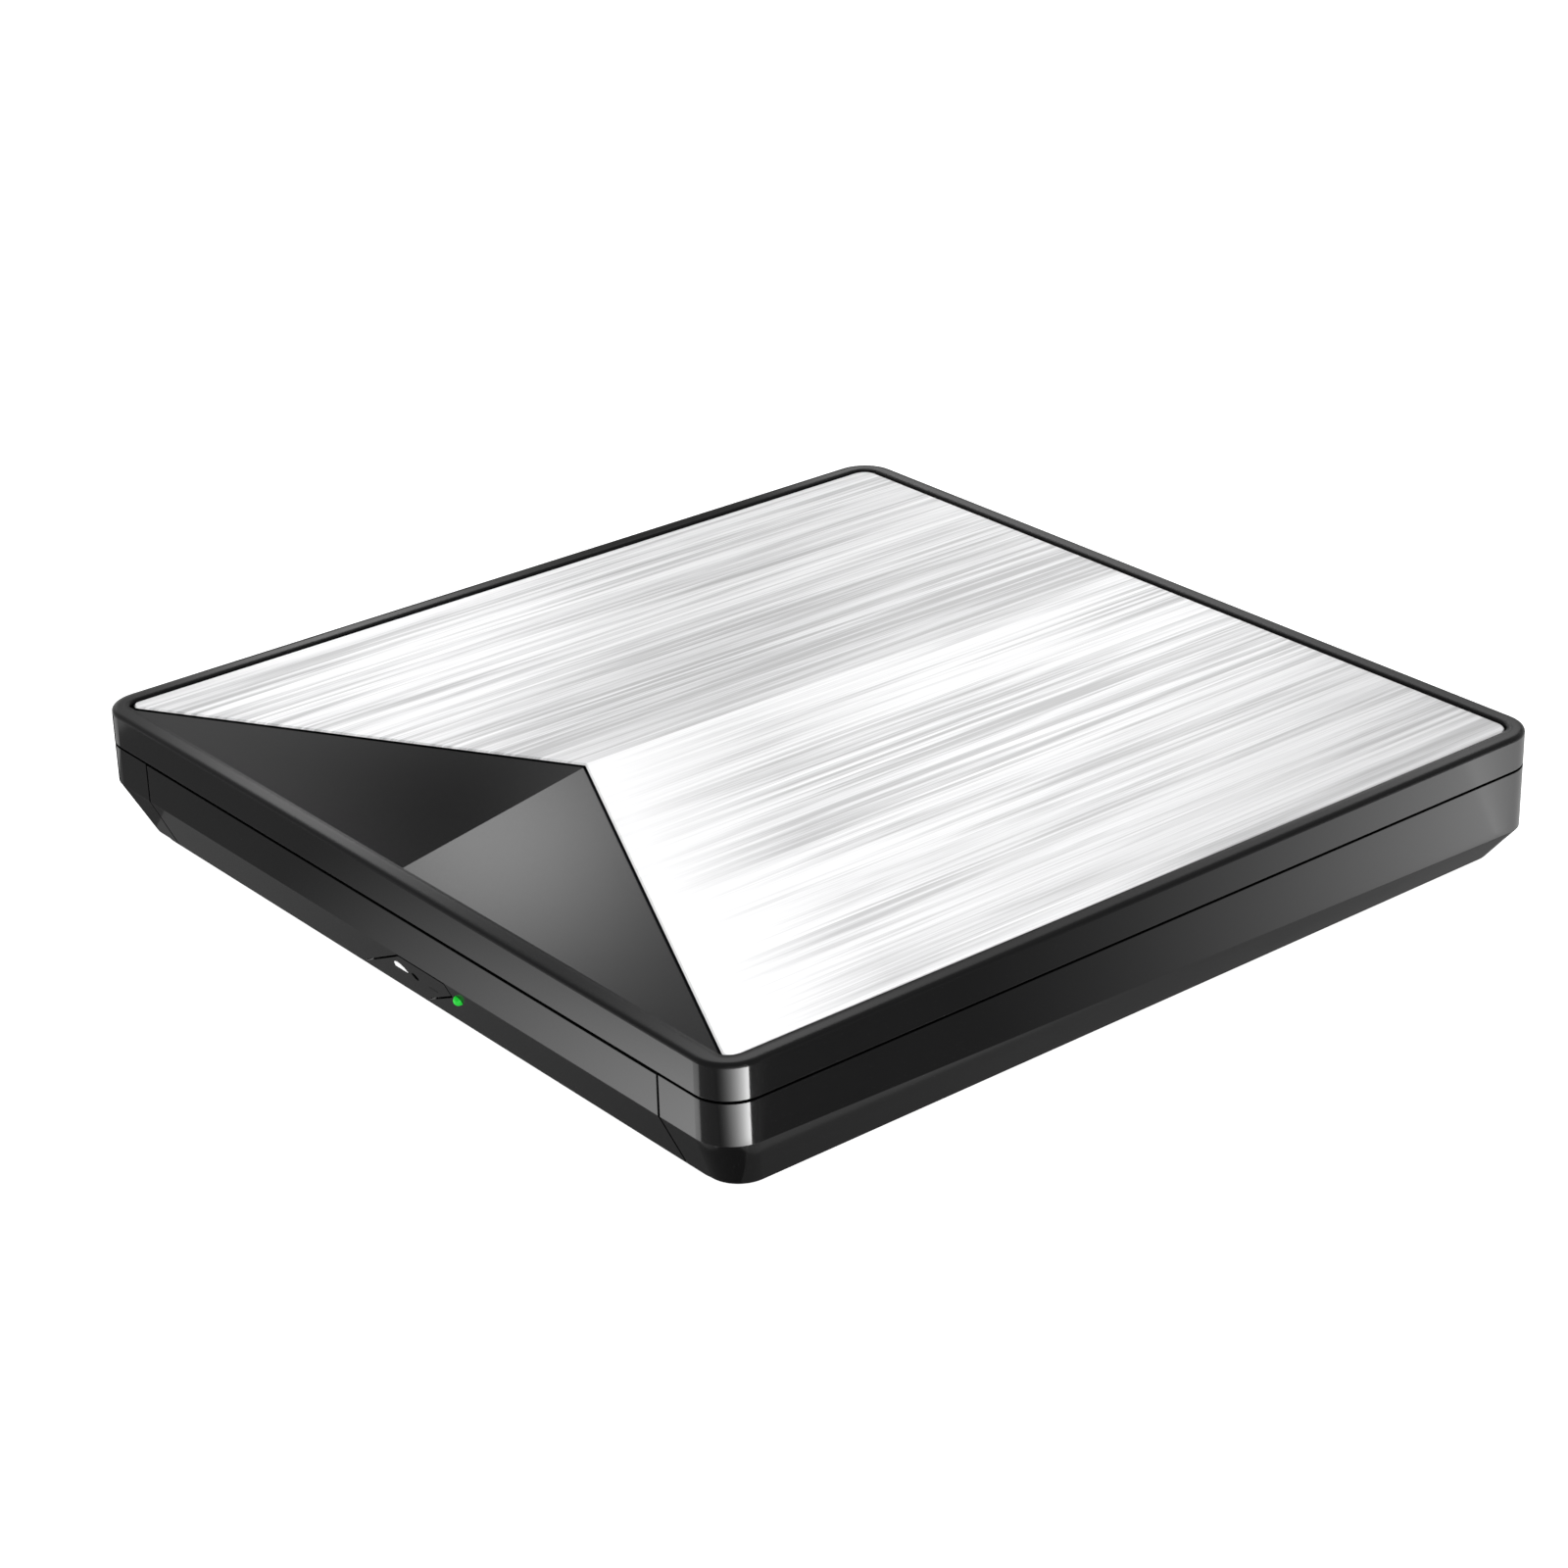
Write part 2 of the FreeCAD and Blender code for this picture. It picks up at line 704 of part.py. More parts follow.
def make_lid():
    """Steel lid with side skirts and a round embossed field over the disc."""
    lid_top = S.lid_under + S.lid_sheet
    reach = S.pan_half + S.lid_sheet
    plate = box("lid_plate", both_ways(reach), (S.pan_front, S.pan_rear), (S.lid_under, lid_top))
    skirts = [
        box("lid_skirt", x, (S.pan_front, S.pan_rear), (S.lid_under - 3.8, S.lid_under + 0.1))
        for x in ((-reach, -S.pan_half), (S.pan_half, reach))]
    boss = turned("lid_emboss", [
        (0, lid_top - 0.2), (45.4, lid_top - 0.2), (45.0, lid_top + 0.3), (0, lid_top + 0.3)])
    bind_place(boss, 0, S.disc_back)
    holes = [
        cylinder("lid_hole", S.shank_radius + S.running_gap, (x, y, S.lid_under - 1), 3)
        for x, y in LID_SCREWS]
    return node("drive_lid", cut("lid_cut", fuse("lid_solid", plate, boss, *skirts), *holes))


def make_lid_screws():
    lid_top = S.lid_under + S.lid_sheet
    screws = [screw("lid_screw", place, 12.8, lid_top, 1.8, 0.6) for place in LID_SCREWS]
    return node("lid_screws", group("lid_screw_group", screws))


def make_foam_pads():
    """Foam blocks that keep the drive from rattling under the top cover."""
    low = S.lid_under + S.lid_sheet
    pads = [
        box("foam_pad", (x - 4, x + 4), (y - 7, y + 7), (low, S.skin_under))
        for x, y in corner_places(as_size(54.0), as_size(42.0))]
    return node("foam_pads", group("foam_pad_group", pads))


# ---------------------------------------------------------------- runners

def make_guide_rail(label, side):
    """Moulded channel inside the pan wall that the half-travel slide runs in."""
    back = S.pan_half - S.pan_sheet
    web = back - S.rail_web
    lip = web - S.rail_lip
    sheet = S.pan_sheet
    outline = [
        (back, S.rail_low), (back, S.rail_high), (lip, S.rail_high), (lip, S.rail_high - sheet),
        (web, S.rail_high - sheet), (web, S.rail_low + sheet), (lip, S.rail_low + sheet),
        (lip, S.rail_low)]
    limits = (S.pan_front + 1.5, S.slide_rear)
    return node(label, prism(label + "_body", "y", limits, mirrored(outline, side)))


def make_slide(label, side):
    """Steel strip that runs out half as far as the tray and carries it, with a lightening slot."""
    outline = [
        (S.slide_inner, S.slide_low), (S.slide_outer, S.slide_low), (S.slide_outer, S.slide_high),
        (S.slide_inner, S.slide_high)]
    strip = prism(label + "_strip", "y", (S.slide_front, S.slide_rear), mirrored(outline, side))
    middle = (S.slide_low + S.slide_high) / 2
    reach = (S.slide_inner - 1, S.slide_outer + 1) if side > 0 else (-S.slide_outer - 1, -S.slide_inner + 1)
    slots = [
        box(label + "_slot", reach, (y - 9, y + 9), (middle - 0.7, middle + 0.7))
        for y in (-38.0, -5.0, 28.0)]
    return node(label, cut(label + "_cut", strip, *slots))


# ---------------------------------------------------------------- tray

MOUNT_POINTS = [(-8.0, 18.0), (-8.0, -18.0), (50.0, 18.0)]


def make_tray():
    """Moulded disc tray: deep side walls, disc well, window for the traverse unit, edge flanges."""
    shell = box("tray_block", both_ways(S.tray_half), (S.tray_front, S.tray_rear),
                (S.tray_bottom, S.tray_top))
    tongue = box("tray_tongue", both_ways(58.0), (-HALF_DEPTH + S.bezel_wall, S.tray_front + 0.5),
                 (S.tray_skin, S.tray_top))
    flanges = [
        box("tray_flange", x, (S.tray_front + 3, S.tray_rear), z)
        for x in ((-S.tray_half - 0.7, -S.tray_half + 0.5), (S.tray_half - 0.5, S.tray_half + 0.7))
        for z in ((S.rail_low, S.rail_low + 0.7), (S.tray_top - 0.6, S.tray_top))]
    posts = spindle_group("tray_posts", [
        cylinder("tray_post", 1.6, (along, across, 8.2), S.tray_skin - 8.1)
        for along, across in MOUNT_POINTS])
    inner_side = both_ways(S.tray_half - S.tray_wall)
    inner_front = S.tray_front + S.tray_wall
    under = box("tray_under", inner_side, (inner_front, S.tray_rear + BEYOND),
                (S.tray_bottom - BEYOND, S.tray_skin))
    rear_corners = cut(
        "rear_corner_voids",
        box("corner_void", inner_side, (0, S.tray_rear - S.tray_wall), (S.tray_skin - 1, 13.5)),
        cylinder("corner_keep", S.well_radius + 1.6, (0, S.disc_back, S.tray_bottom), S.tray_top))
    well = cylinder("disc_well", S.well_radius, (0, S.disc_back, S.well_floor), S.tray_top)
    fingers = [
        cylinder("finger_scoop", 9.0, (x, S.disc_back - 50, S.well_floor + 0.8), S.tray_top)
        for x in (-44.0, 44.0)]
    window = spindle_prism(
        "traverse_window", (S.tray_skin - 1, S.well_floor + 0.5), rectangle((-16.5, 58.0), (-16.0, 16.0)))
    lens_end = spindle_prism(
        "lens_end_window", (S.tray_skin - 1, 12.8), rectangle((50.0, 63.0), (-7.5, 7.5)))
    board_window = box("board_window", (-15.0, 25.0), (S.tray_front - BEYOND, inner_front + BEYOND),
                       (S.tray_bottom - BEYOND, 9.6))
    body = cut("tray_cut", fuse("tray_solid", shell, tongue, *flanges), under, rear_corners, well, *fingers,
               window, lens_end, board_window)
    bores = spindle_group("tray_post_bores", [
        cylinder("tray_post_bore", S.shank_radius + S.running_gap, (along, across, 8.0), 2.3)
        for along, across in MOUNT_POINTS])
    return node("tray", cut("tray_bored", fuse("tray_with_posts", body, posts), bores))


def make_tray_shield():
    """Thin steel sheet that closes the tray from below, clear of the latch's channel."""
    sheet = prism("shield_sheet", "z", (S.tray_bottom - 0.5, S.tray_bottom - 0.1), [
        (-57.0, -60.0), (-26.0, -60.0), (-22.0, -56.0), (24.0, -56.0), (26.0, -54.0), (41.0, -54.0),
        (41.0, 18.0), (-57.0, 18.0)])
    holes = spindle_group("shield_holes", [
        cylinder("shield_hole", 2.3, (along, across, 4.0), 4.0) for along, across in MOUNT_POINTS])
    return node("tray_shield", cut("shield_cut", sheet, holes))


BUTTON_LOW = S.base_bottom
BUTTON_TOP = S.taper_front - S.button_gap


def slope_face(level):
    """Where the tray front's sloping face lies in Y, at a level of the taper."""
    slope = S.taper_in_front / (S.taper_front - S.base_bottom)
    return -HALF_DEPTH + slope * (S.taper_front - level)


def button_outline(grow):
    """The button seen from the front: a slanted band, cut off short of the light; grown all round."""
    grow = as_size(grow)
    slant = S.button_slant
    low = BUTTON_LOW - grow * 5
    top = BUTTON_TOP + grow
    left_low = S.button_left + slant * (low - BUTTON_LOW) - grow * 2
    left_top = S.button_left + slant * (top - BUTTON_LOW) - grow * 2
    right_low = S.button_left + S.button_width + slant * (low - BUTTON_LOW) + grow * 2
    right = S.button_right_limit + grow
    turn_level = low + (right - right_low) / slant
    return [(left_low, low), (right_low, low), (right, turn_level), (right, top), (left_top, top)]


def bezel_profile(front_in, back_in):
    """Section of the tray front: an upright face over the taper, between two depths."""
    outer = -HALF_DEPTH + front_in
    inner = -HALF_DEPTH + back_in
    kink = S.taper_front + back_in * 0.23
    return [
        (outer, BEZEL_TOP), (outer, S.taper_front), (outer + S.taper_in_front, S.base_bottom),
        (inner + S.taper_in_front + 0.2, S.base_bottom), (inner, kink), (inner, BEZEL_TOP)]


def make_front_bezel():
    """Tray front: follows the case's upright wall and taper, with openings for button and light."""
    bar = prism("bezel_bar", "x", both_ways(S.bezel_half), bezel_profile(as_size(0), S.bezel_wall))
    through = (-HALF_DEPTH - BEYOND, -HALF_DEPTH + 8)
    window = prism("button_window", "y", through, button_outline(S.button_gap))
    light = cylinder("light_hole", S.light_radius + S.running_gap,
                     (S.light_side, -HALF_DEPTH - BEYOND, S.light_level), 8, "y")
    return node("front_bezel", cut("bezel_cut", bar, window, light))


BUTTON_STEM = -73.0


def make_eject_button():
    """Button plate flush with the taper, with its stem and the pin hole."""
    band = prism("button_band", "y", (-HALF_DEPTH - BEYOND, -HALF_DEPTH + 8), button_outline(as_size(0)))
    skin = prism("button_skin", "x", (-15.0, 25.0), bezel_profile(as_size(0), S.bezel_wall))
    plate = common("button_plate", band, skin)
    stem = box("button_stem", (8.0, 10.0), (-HALF_DEPTH + 1.9, BUTTON_STEM), (5.2, 7.0))
    pin_hole = cylinder("pin_hole", S.pin_hole_radius,
                        (S.pin_hole_side, -HALF_DEPTH - BEYOND, S.pin_hole_level), 12, "y")
    return node("eject_button", cut("button_cut", fuse("button_solid", plate, stem), pin_hole))


def make_switch_plunger():
    plunger = cylinder("plunger", 0.7, (9.0, BUTTON_STEM, 6.1), 2.1, "y")
    return node("switch_plunger", plunger)


def make_button_mark():
    """White half-round mark on the button's sloping face, a hair proud of it and inside its edges."""
    middle, centre, low = as_size(1.6), as_size(5.5), as_size(5.6)
    face = slope_face(centre)
    disc = cylinder("mark_disc", 1.5, (middle, face - 3, centre), 6, "y")
    lower = box("mark_lower", (middle - 3, middle + 3), (face - 4, face + 4), (low - 3, low))
    proud = as_size(0.06)
    skin = prism("mark_skin", "x", (-3.0, 6.0), [
        (-HALF_DEPTH - proud, S.taper_front), (-HALF_DEPTH - proud + S.taper_in_front, S.base_bottom),
        (-HALF_DEPTH + S.taper_in_front, S.base_bottom), (-HALF_DEPTH, S.taper_front)])
    return node("button_mark", common("mark_common", cut("mark_half", disc, lower), skin))


# ---------------------------------------------------------------- board behind the tray front

TRAY_BOARD_LOW = S.tray_bottom + 0.9
TRAY_BOARD_FRONT = S.tray_front + 0.5


def make_tray_board():
    """Narrow circuit board that carries the switch and the light behind the button."""
    board = box("tray_board_blank", (-14.0, 24.0), (TRAY_BOARD_FRONT, TRAY_BOARD_FRONT + 7.4),
                (TRAY_BOARD_LOW, TRAY_BOARD_LOW + 0.8))
    plug = box("tray_board_plug", (-11.0, 0.0), (TRAY_BOARD_FRONT + 3.5, TRAY_BOARD_FRONT + 7),
               (TRAY_BOARD_LOW + 0.8, TRAY_BOARD_LOW + 2.4))
    return node("tray_board", fuse("tray_board_solid", board, plug))


def make_eject_switch():
    front = TRAY_BOARD_FRONT
    case = box("switch_case", (6.5, 11.5), (front, front + 3), (TRAY_BOARD_LOW - 1.6, TRAY_BOARD_LOW))
    bore = cylinder("switch_bore", 0.75, (9.0, front - 1, 6.1), 2.8, "y")
    return node("eject_switch", cut("switch_cut", case, bore))


def make_status_led():
    front = TRAY_BOARD_FRONT
    chip = box("led_chip", (S.light_side - 1, S.light_side + 1), (front, front + 1),
               (TRAY_BOARD_LOW - 1, TRAY_BOARD_LOW))
    return node("status_led", chip)


def make_light_pipe():
    """Clear rod from the LED to the bezel's slope, with a domed end that stands out of the slope."""
    face = slope_face(S.light_level)
    rod = cylinder("pipe_rod", S.light_radius, (S.light_side, face, S.light_level),
                   TRAY_BOARD_FRONT - 0.1 - face, "y")
    dome = DOC.addObject("Part::Sphere", "pipe_dome")
    bind(dome, "Radius", S.light_radius)
    bind_place(dome, S.light_side, face, S.light_level)
    return node("light_pipe", fuse("pipe_solid", rod, dome))


# ---------------------------------------------------------------- traverse unit

LEAD_LEVEL = as_size(8.25)
LEAD_RADIUS = as_size(1.1)
ROD_NEAR = as_size(12.0)
ROD_FAR = as_size(64.0)
SHAFT_RADIUS = as_size(0.75)


def make_traverse_base():
    """Steel plate that carries spindle, rods and sled motor, with blocks that hold the rod ends."""
    half = S.module_half
    clip = as_size(8.0)
    far = S.module_far
    plate = prism("base_plate", "z", (S.base_low, S.base_high), [
        (-S.module_near, -half), (far - clip, -half), (far, -half + clip), (far, half - clip),
        (far - clip, half), (-S.module_near, half)])
    blocks = [
        box("rod_block", x, (across - 1.8, across + 1.8), (S.base_high - 0.1, S.rod_level + 1.5))
        for x in ((ROD_NEAR - 2, ROD_NEAR), (ROD_FAR, ROD_FAR + 1.6))
        for across in (S.main_rod_side, S.sub_rod_side)]
    cover_posts = [
        cylinder("cover_post", 1.2, (-11.5, across, S.base_high - 0.1), S.tray_skin + 0.2 - S.base_high)
        for across in (-13.5, 13.5)]
    motor_window = box("motor_window", (2.0, 14.6), (S.screw_line_side - 2.7, S.screw_line_side + 2.7),
                       (S.base_low - 1, S.base_high + 1))
    sled_window = box("sled_window", (17.0, 60.0), (-7.0, 8.0), (S.base_low - 1, S.base_high + 1))
    holes = [
        cylinder("bushing_hole", 1.5, (along, across, S.base_low - 1), 3) for along, across in MOUNT_POINTS]
    solid = fuse("base_solid", plate, *blocks, *cover_posts)
    return node("traverse_base", on_spindle(cut("base_cut", solid, motor_window, sled_window, *holes)))


def make_traverse_cover():
    """Black plate in the tray's window, open for the turntable and along the lens's way."""
    low = S.tray_skin + 0.1
    plate = box("cover_plate", (-16.1, 57.6), (-15.6, 15.6), (low, low + 0.6))
    hub_hole = cylinder("hub_hole", S.table_radius + 0.6, (0, 0, low - 1), 3)
    lens_slot = box("lens_slot", (10.0, 59.0), (-6.5, 6.5), (low - 1, low + 2))
    return node("traverse_cover", on_spindle(cut("traverse_cover_cut", plate, hub_hole, lens_slot)))


def make_bushings():
    """Rubber bushings that the traverse unit floats on, grooved to grip its plate."""
    low = S.base_low - 0.2
    neck = as_size(1.45)
    bore = S.shank_radius + S.running_gap
    bushings = []
    for along, across in MOUNT_POINTS:
        bushing = turned("bushing", [
            (bore, low), (2.2, low), (2.2, S.base_low), (neck, S.base_low), (neck, S.base_high),
            (2.2, S.base_high), (2.2, 8.2), (bore, 8.2)])
        bind_place(bushing, along, across)
        bushings.append(bushing)
    return node("damper_bushings", spindle_group("bushing_group", bushings))


def make_traverse_screws():
    screws = [
        screw("traverse_screw", place, 10.1, S.base_low - 0.2, 1.9, 0.6) for place in MOUNT_POINTS]
    return node("traverse_screws", spindle_group("traverse_screw_group", screws))


def make_spindle_motor():
    """Fixed half of the spindle motor: mounting disc, bearing tube and stator core."""
    low = S.base_high
    bore = SHAFT_RADIUS + S.running_gap
    item = turned("spindle_stator", [
        (bore, low), (12.0, low), (12.0, low + 0.5), (2.4, low + 0.5), (2.4, low + 1.1), (8.0, low + 1.1),
        (8.0, low + 2.6), (2.4, low + 2.6), (2.4, 10.6), (bore, 10.6)])
    return node("spindle_motor", on_spindle(item))


def make_rotor():
    """Turning half of the spindle motor: a cup on its shaft."""
    cup = turned("rotor_cup", [
        (0, 7.2), (SHAFT_RADIUS, 7.2), (SHAFT_RADIUS, 10.9), (S.rotor_radius - 0.6, 10.9),
        (S.rotor_radius - 0.6, 7.9), (S.rotor_radius, 7.9), (S.rotor_radius, 11.7),
        (SHAFT_RADIUS, 11.7), (SHAFT_RADIUS, 14.6), (0, 14.6)])
    return node("spindle_rotor", on_spindle(cup))


def make_turntable():
    """Disc seat on top of the rotor, with a step for the rubber ring."""
    bore = SHAFT_RADIUS
    item = turned("table", [
        (bore, 11.7), (S.table_radius, 11.7), (S.table_radius, 12.3), (9.6, 12.3), (9.6, 12.5),
        (bore, 12.5)])
    return node("turntable", on_spindle(item))


def make_turntable_pad():
    ring = turned("pad_ring", tube_points(9.8, S.table_radius - 0.2, 12.3, S.disc_seat))
    return node("turntable_pad", on_spindle(ring))


CLAW_TURNS = (0, 120, 240)
CLAW_HALF = as_size(1.2)
CLAW_BACK = as_size(5.2)


def make_clamp_hub():
    """Centring hub with a rounded nose and three slots for the claws."""
    bore = SHAFT_RADIUS + S.running_gap
    nose = S.hub_radius - 0.3
    body = turned("hub_body", [
        (bore, 12.5), (S.hub_radius, 12.5), (S.hub_radius, 13.8), (nose, 13.9), (nose, 14.8),
        (6.7, S.hub_top), (2.4, S.hub_top), (2.0, 15.0), (0, 15.0), (0, 14.7), (bore, 14.7)])
    slots = []
    for turn in CLAW_TURNS:
        slot = box("claw_slot", (CLAW_BACK - 0.65, S.hub_radius + 1), both_ways(CLAW_HALF + 0.1),
                   (S.claw_low - 0.1, S.claw_high + 0.1))
        placed = group("claw_slot_turned", [slot])
        placed.Placement = FreeCAD.Placement(VECTOR(), FreeCAD.Rotation(VECTOR(0, 0, 1), turn))
        slots.append(placed)
    hub = cut("hub_cut", body, *slots)
    bind_place(hub, 0, S.disc_back)
    return node("clamp_hub", hub)


def make_claw(label, turn):
    """Sprung claw that grips the disc's hole: a bar with a slanted nose, along the hub's radius."""
    body = prism(label + "_body", "y", both_ways(CLAW_HALF), [
        (CLAW_BACK, S.claw_low), (S.hub_radius - 0.1, S.claw_low), (S.claw_reach, S.claw_low + 0.25),
        (S.hub_radius - 0.3, S.claw_high), (CLAW_BACK, S.claw_high)])
    body.Placement = FreeCAD.Placement(VECTOR(), FreeCAD.Rotation(VECTOR(0, 0, 1), turn))
    bind_place(body, 0, S.disc_back)
    return node(label, body)


def make_rod(label, side):
    rod = cylinder(label + "_bar", S.rod_radius, (ROD_NEAR, side, S.rod_level), ROD_FAR - ROD_NEAR, "x")
    return node(label, spindle_group(label + "_group", [rod]))


def make_sled():
    """Pickup carriage: bored for the main rod, hooked over the other, with a well for the lens."""
    lens = S.lens_near
    low = as_size(7.3)
    high = as_size(10.3)
    fit = S.rod_radius + S.running_gap
    block = box("sled_block", (lens - 9, lens + 5), (-13.2, 15.6), (low, high))
    main_bore = cylinder("main_bore", fit, (lens - 12, S.main_rod_side, S.rod_level), 20, "x")
    hook = box("sub_hook", (lens - 12, lens + 8), (S.sub_rod_side - fit, S.sub_rod_side + 4),
               (low - 1, S.rod_level + fit))
    well = box("lens_well", (lens - 4.5, lens + 3.6), (-8.0, 8.0), (8.3, high + 1))
    return node("sled", on_spindle(cut("sled_cut", block, main_bore, hook, well)))


def make_sled_nut():
    """Nut of the sled on the lead screw."""
    lens = S.lens_near
    fit = LEAD_RADIUS + S.running_gap
    block = box("nut_block", (lens - 6, lens), (-17.5, -13.2), (7.3, 9.9))
    bore = cylinder("nut_bore", fit, (lens - 8, S.screw_line_side, LEAD_LEVEL), 10, "x")
    return node("sled_nut", on_spindle(cut("nut_cut", block, bore)))


def make_lens_holder():
    """Moving block that carries the objective lens over the sled."""
    lens = S.lens_near
    block = box("holder_block", (lens - 2.8, lens + 2.8), (-5.2, 5.2), (8.9, 11.3))
    crown = cylinder("holder_crown", 2.7, (lens, 0, 11.2), 0.5)
    bore = cylinder("holder_bore", 2.1, (lens, 0, 8.0), 5)
    return node("lens_holder", on_spindle(cut("holder_cut", fuse("holder_solid", block, crown), bore)))


def make_lens():
    """Objective lens with a shallow dome."""
    item = turned("lens_body", [
        (0, 10.4), (2.05, 10.4), (2.05, 11.6), (1.5, 11.85), (0.8, 12.0), (0, 12.05)])
    bind_place(item, S.lens_near, 0)
    return node("objective_lens", spindle_group("lens_group", [item]))


def make_lead_screw():
    """Lead screw, as a plain shaft."""
    shaft = cylinder("lead_shaft", LEAD_RADIUS, (13.1, S.screw_line_side, LEAD_LEVEL), ROD_FAR - 12.7, "x")
    return node("lead_screw", spindle_group("lead_group", [shaft]))


def make_sled_motor():
    can = cylinder("motor_can", 2.25, (3.4, S.screw_line_side, LEAD_LEVEL), 9.6, "x")
    return node("sled_motor", spindle_group("motor_group", [can]))


def make_screw_bracket():
    """Bracket with a bearing plate at each end of the lead screw."""
    side = S.screw_line_side
    low = S.base_high
    plates = [
        box("bracket_plate", x, (side - 2.8, side + 2.2), (low, 10.3))
        for x in ((13.2, 13.7), (ROD_FAR, ROD_FAR + 0.6))]
    strip = box("bracket_strip", (13.2, ROD_FAR + 0.6), (side - 2.8, side - 2.4), (low, 9.7))
    bore = cylinder("bracket_bore", LEAD_RADIUS + S.running_gap, (12.0, side, LEAD_LEVEL), 60, "x")
    return node("screw_bracket", on_spindle(cut("bracket_cut", fuse("bracket_solid", strip, *plates), bore)))


# ---------------------------------------------------------------- latch

LATCH_PIVOT = (51.0, -64.0)
LATCH_OPEN = -36


def make_latch_pin():
    pin = cylinder("latch_pin_bar", 0.8, (*LATCH_PIVOT, S.tray_bottom), S.tray_skin - S.tray_bottom)
    return node("latch_pin", pin)


def make_latch_lever():
    """Hooked lever; at rest it stands swung clear of the post, as after an eject signal."""
    outline = [
        (-1.8, -1.8), (1.8, -1.8), (1.8, 7.6), (-8.0, 7.6), (-8.0, 5.6), (-1.8, 5.6)]
    blade = prism("latch_blade", "z", (6.3, 7.3), outline)
    bore = cylinder("latch_bore", 0.85, (0, 0, 5), 4)
    lever = cut("latch_cut", blade, bore)
    lever.Placement = FreeCAD.Placement(VECTOR(), FreeCAD.Rotation(VECTOR(0, 0, 1), LATCH_OPEN))
    bind_place(lever, *LATCH_PIVOT)
    return node("latch_lever", lever)


def make_solenoid():
    """Eject solenoid: coil, frame and core."""
    coil = cylinder("coil", 1.7, (31.0, -61.0, 8.2), 8.0, "x")
    core = cylinder("core", 0.7, (29.0, -61.0, 8.2), 13.5, "x")
    ends = [box("solenoid_end", x, (-63.2, -58.8), (6.4, 10.1)) for x in ((30.3, 31.0), (39.0, 39.7))]
    back = box("solenoid_back", (30.3, 39.7), (-63.6, -63.1), (6.4, 10.1))
    return node("solenoid", fuse("solenoid_solid", coil, core, back, *ends))


# ---------------------------------------------------------------- boards and connectors

def make_main_board():
    board = box("main_board_blank", both_ways(57.0), (21.0, 53.0), (MAIN_BOARD_LOW, MAIN_BOARD_LOW + 1.2))
    return node("main_board", board)


def make_main_chips():
    """Controller, motor driver, memory, ribbon socket and small parts on the main board."""
    low = MAIN_BOARD_LOW + 1.2
    sizes = [(-22.0, 38.0, 14.0, 14.0, 1.3), (4.0, 34.0, 9.0, 9.0, 1.0), (26.0, 36.0, 8.0, 6.0, 1.0),
             (32.0, 25.0, 18.0, 4.0, 1.6)]
    small = [(-46.0 + step * 7.0, 26.0, 2.0, 1.2, 0.9) for step in range(9)]
    chips = [
        box("chip", (x - w / 2, x + w / 2), (y - d / 2, y + d / 2), (low, low + tall))
        for x, y, w, d, tall in sizes + small]
    return node("main_board_chips", group("main_chip_group", chips))


def make_ribbon():
    """Folded ribbon cable between the main board and the tray."""
    low = S.pan_bottom + S.pan_sheet + 0.05
    thick = as_size(0.15)
    rise = as_size(0.9)
    front = -36.0
    outline = [
        (22.0, low), (front, low), (front, low + rise), (12.0, low + rise), (12.0, low + rise - thick),
        (front + 0.15, low + rise - thick), (front + 0.15, low + thick), (22.0, low + thick)]
    return node("ribbon_cable", prism("ribbon_body", "x", (24.0, 40.0), outline))


CONNECTOR = (-12.0, 24.0)
MATING_FACE = as_size(57.6)


def make_drive_connector():
    low = MAIN_BOARD_LOW + 1.2
    block = box("drive_plug", CONNECTOR, (50.5, MATING_FACE), (low, low + 3.6))
    return node("drive_connector", block)


def make_bridge_connector():
    low = S.bridge_level + S.board_thick
    block = box("bridge_plug", CONNECTOR, (MATING_FACE, S.bridge_front + 3.5), (low, low + 3.6))
    return node("bridge_connector", block)


def make_bridge_board():
    low = S.bridge_level
    blank = box("bridge_blank", (-43.0, 42.0), (S.bridge_front, S.bridge_rear), (low, low + S.board_thick))
    holes = [
        cylinder("bridge_hole", S.shank_radius + S.running_gap, (x, y, low - 1), 4) for x, y in BOARD_POSTS]
    return node("bridge_board", cut("bridge_cut", blank, *holes))


def make_bridge_chips():
    low = S.bridge_level + S.board_thick
    sizes = [(-8.0, 69.0, 7.0, 7.0, 1.0), (-22.0, 69.0, 5.0, 3.2, 1.3), (20.5, 68.5, 4.0, 4.0, 1.2)]
    small = [(-30.0 - step * 2.6, 70.0, 1.4, 2.2, 0.8) for step in range(2)]
    chips = [
        box("bridge_chip", (x - w / 2, x + w / 2), (y - d / 2, y + d / 2), (low, low + tall))
        for x, y, w, d, tall in sizes + small]
    return node("bridge_board_chips", group("bridge_chip_group", chips))


def make_bridge_screws():
    top = S.bridge_level + S.board_thick
    screws = [screw("bridge_screw", place, S.base_floor + 0.3, top, 1.8, 1.0) for place in BOARD_POSTS]
    return node("bridge_screws", group("bridge_screw_group", screws))


SOCKET_MOUTH = HALF_DEPTH - 0.2


def make_socket_shell():
    """Steel shell of the reversible USB socket, open to the back."""
    side = (S.socket_side - S.socket_half, S.socket_side + S.socket_half)
    shell = S.socket_shell
    rear = SOCKET_MOUTH - S.socket_depth
    outer = rounded_bar("socket_outer", side, (rear, SOCKET_MOUTH), (S.socket_low, S.socket_high), 1.5)
    inner = rounded_bar(
        "socket_inner", (side[0] + shell, side[1] - shell), (rear + 0.6, SOCKET_MOUTH + BEYOND),
        (S.socket_low + shell, S.socket_high - shell), 1.2)
    return node("usb_socket_shell", cut("socket_cut", outer, inner))


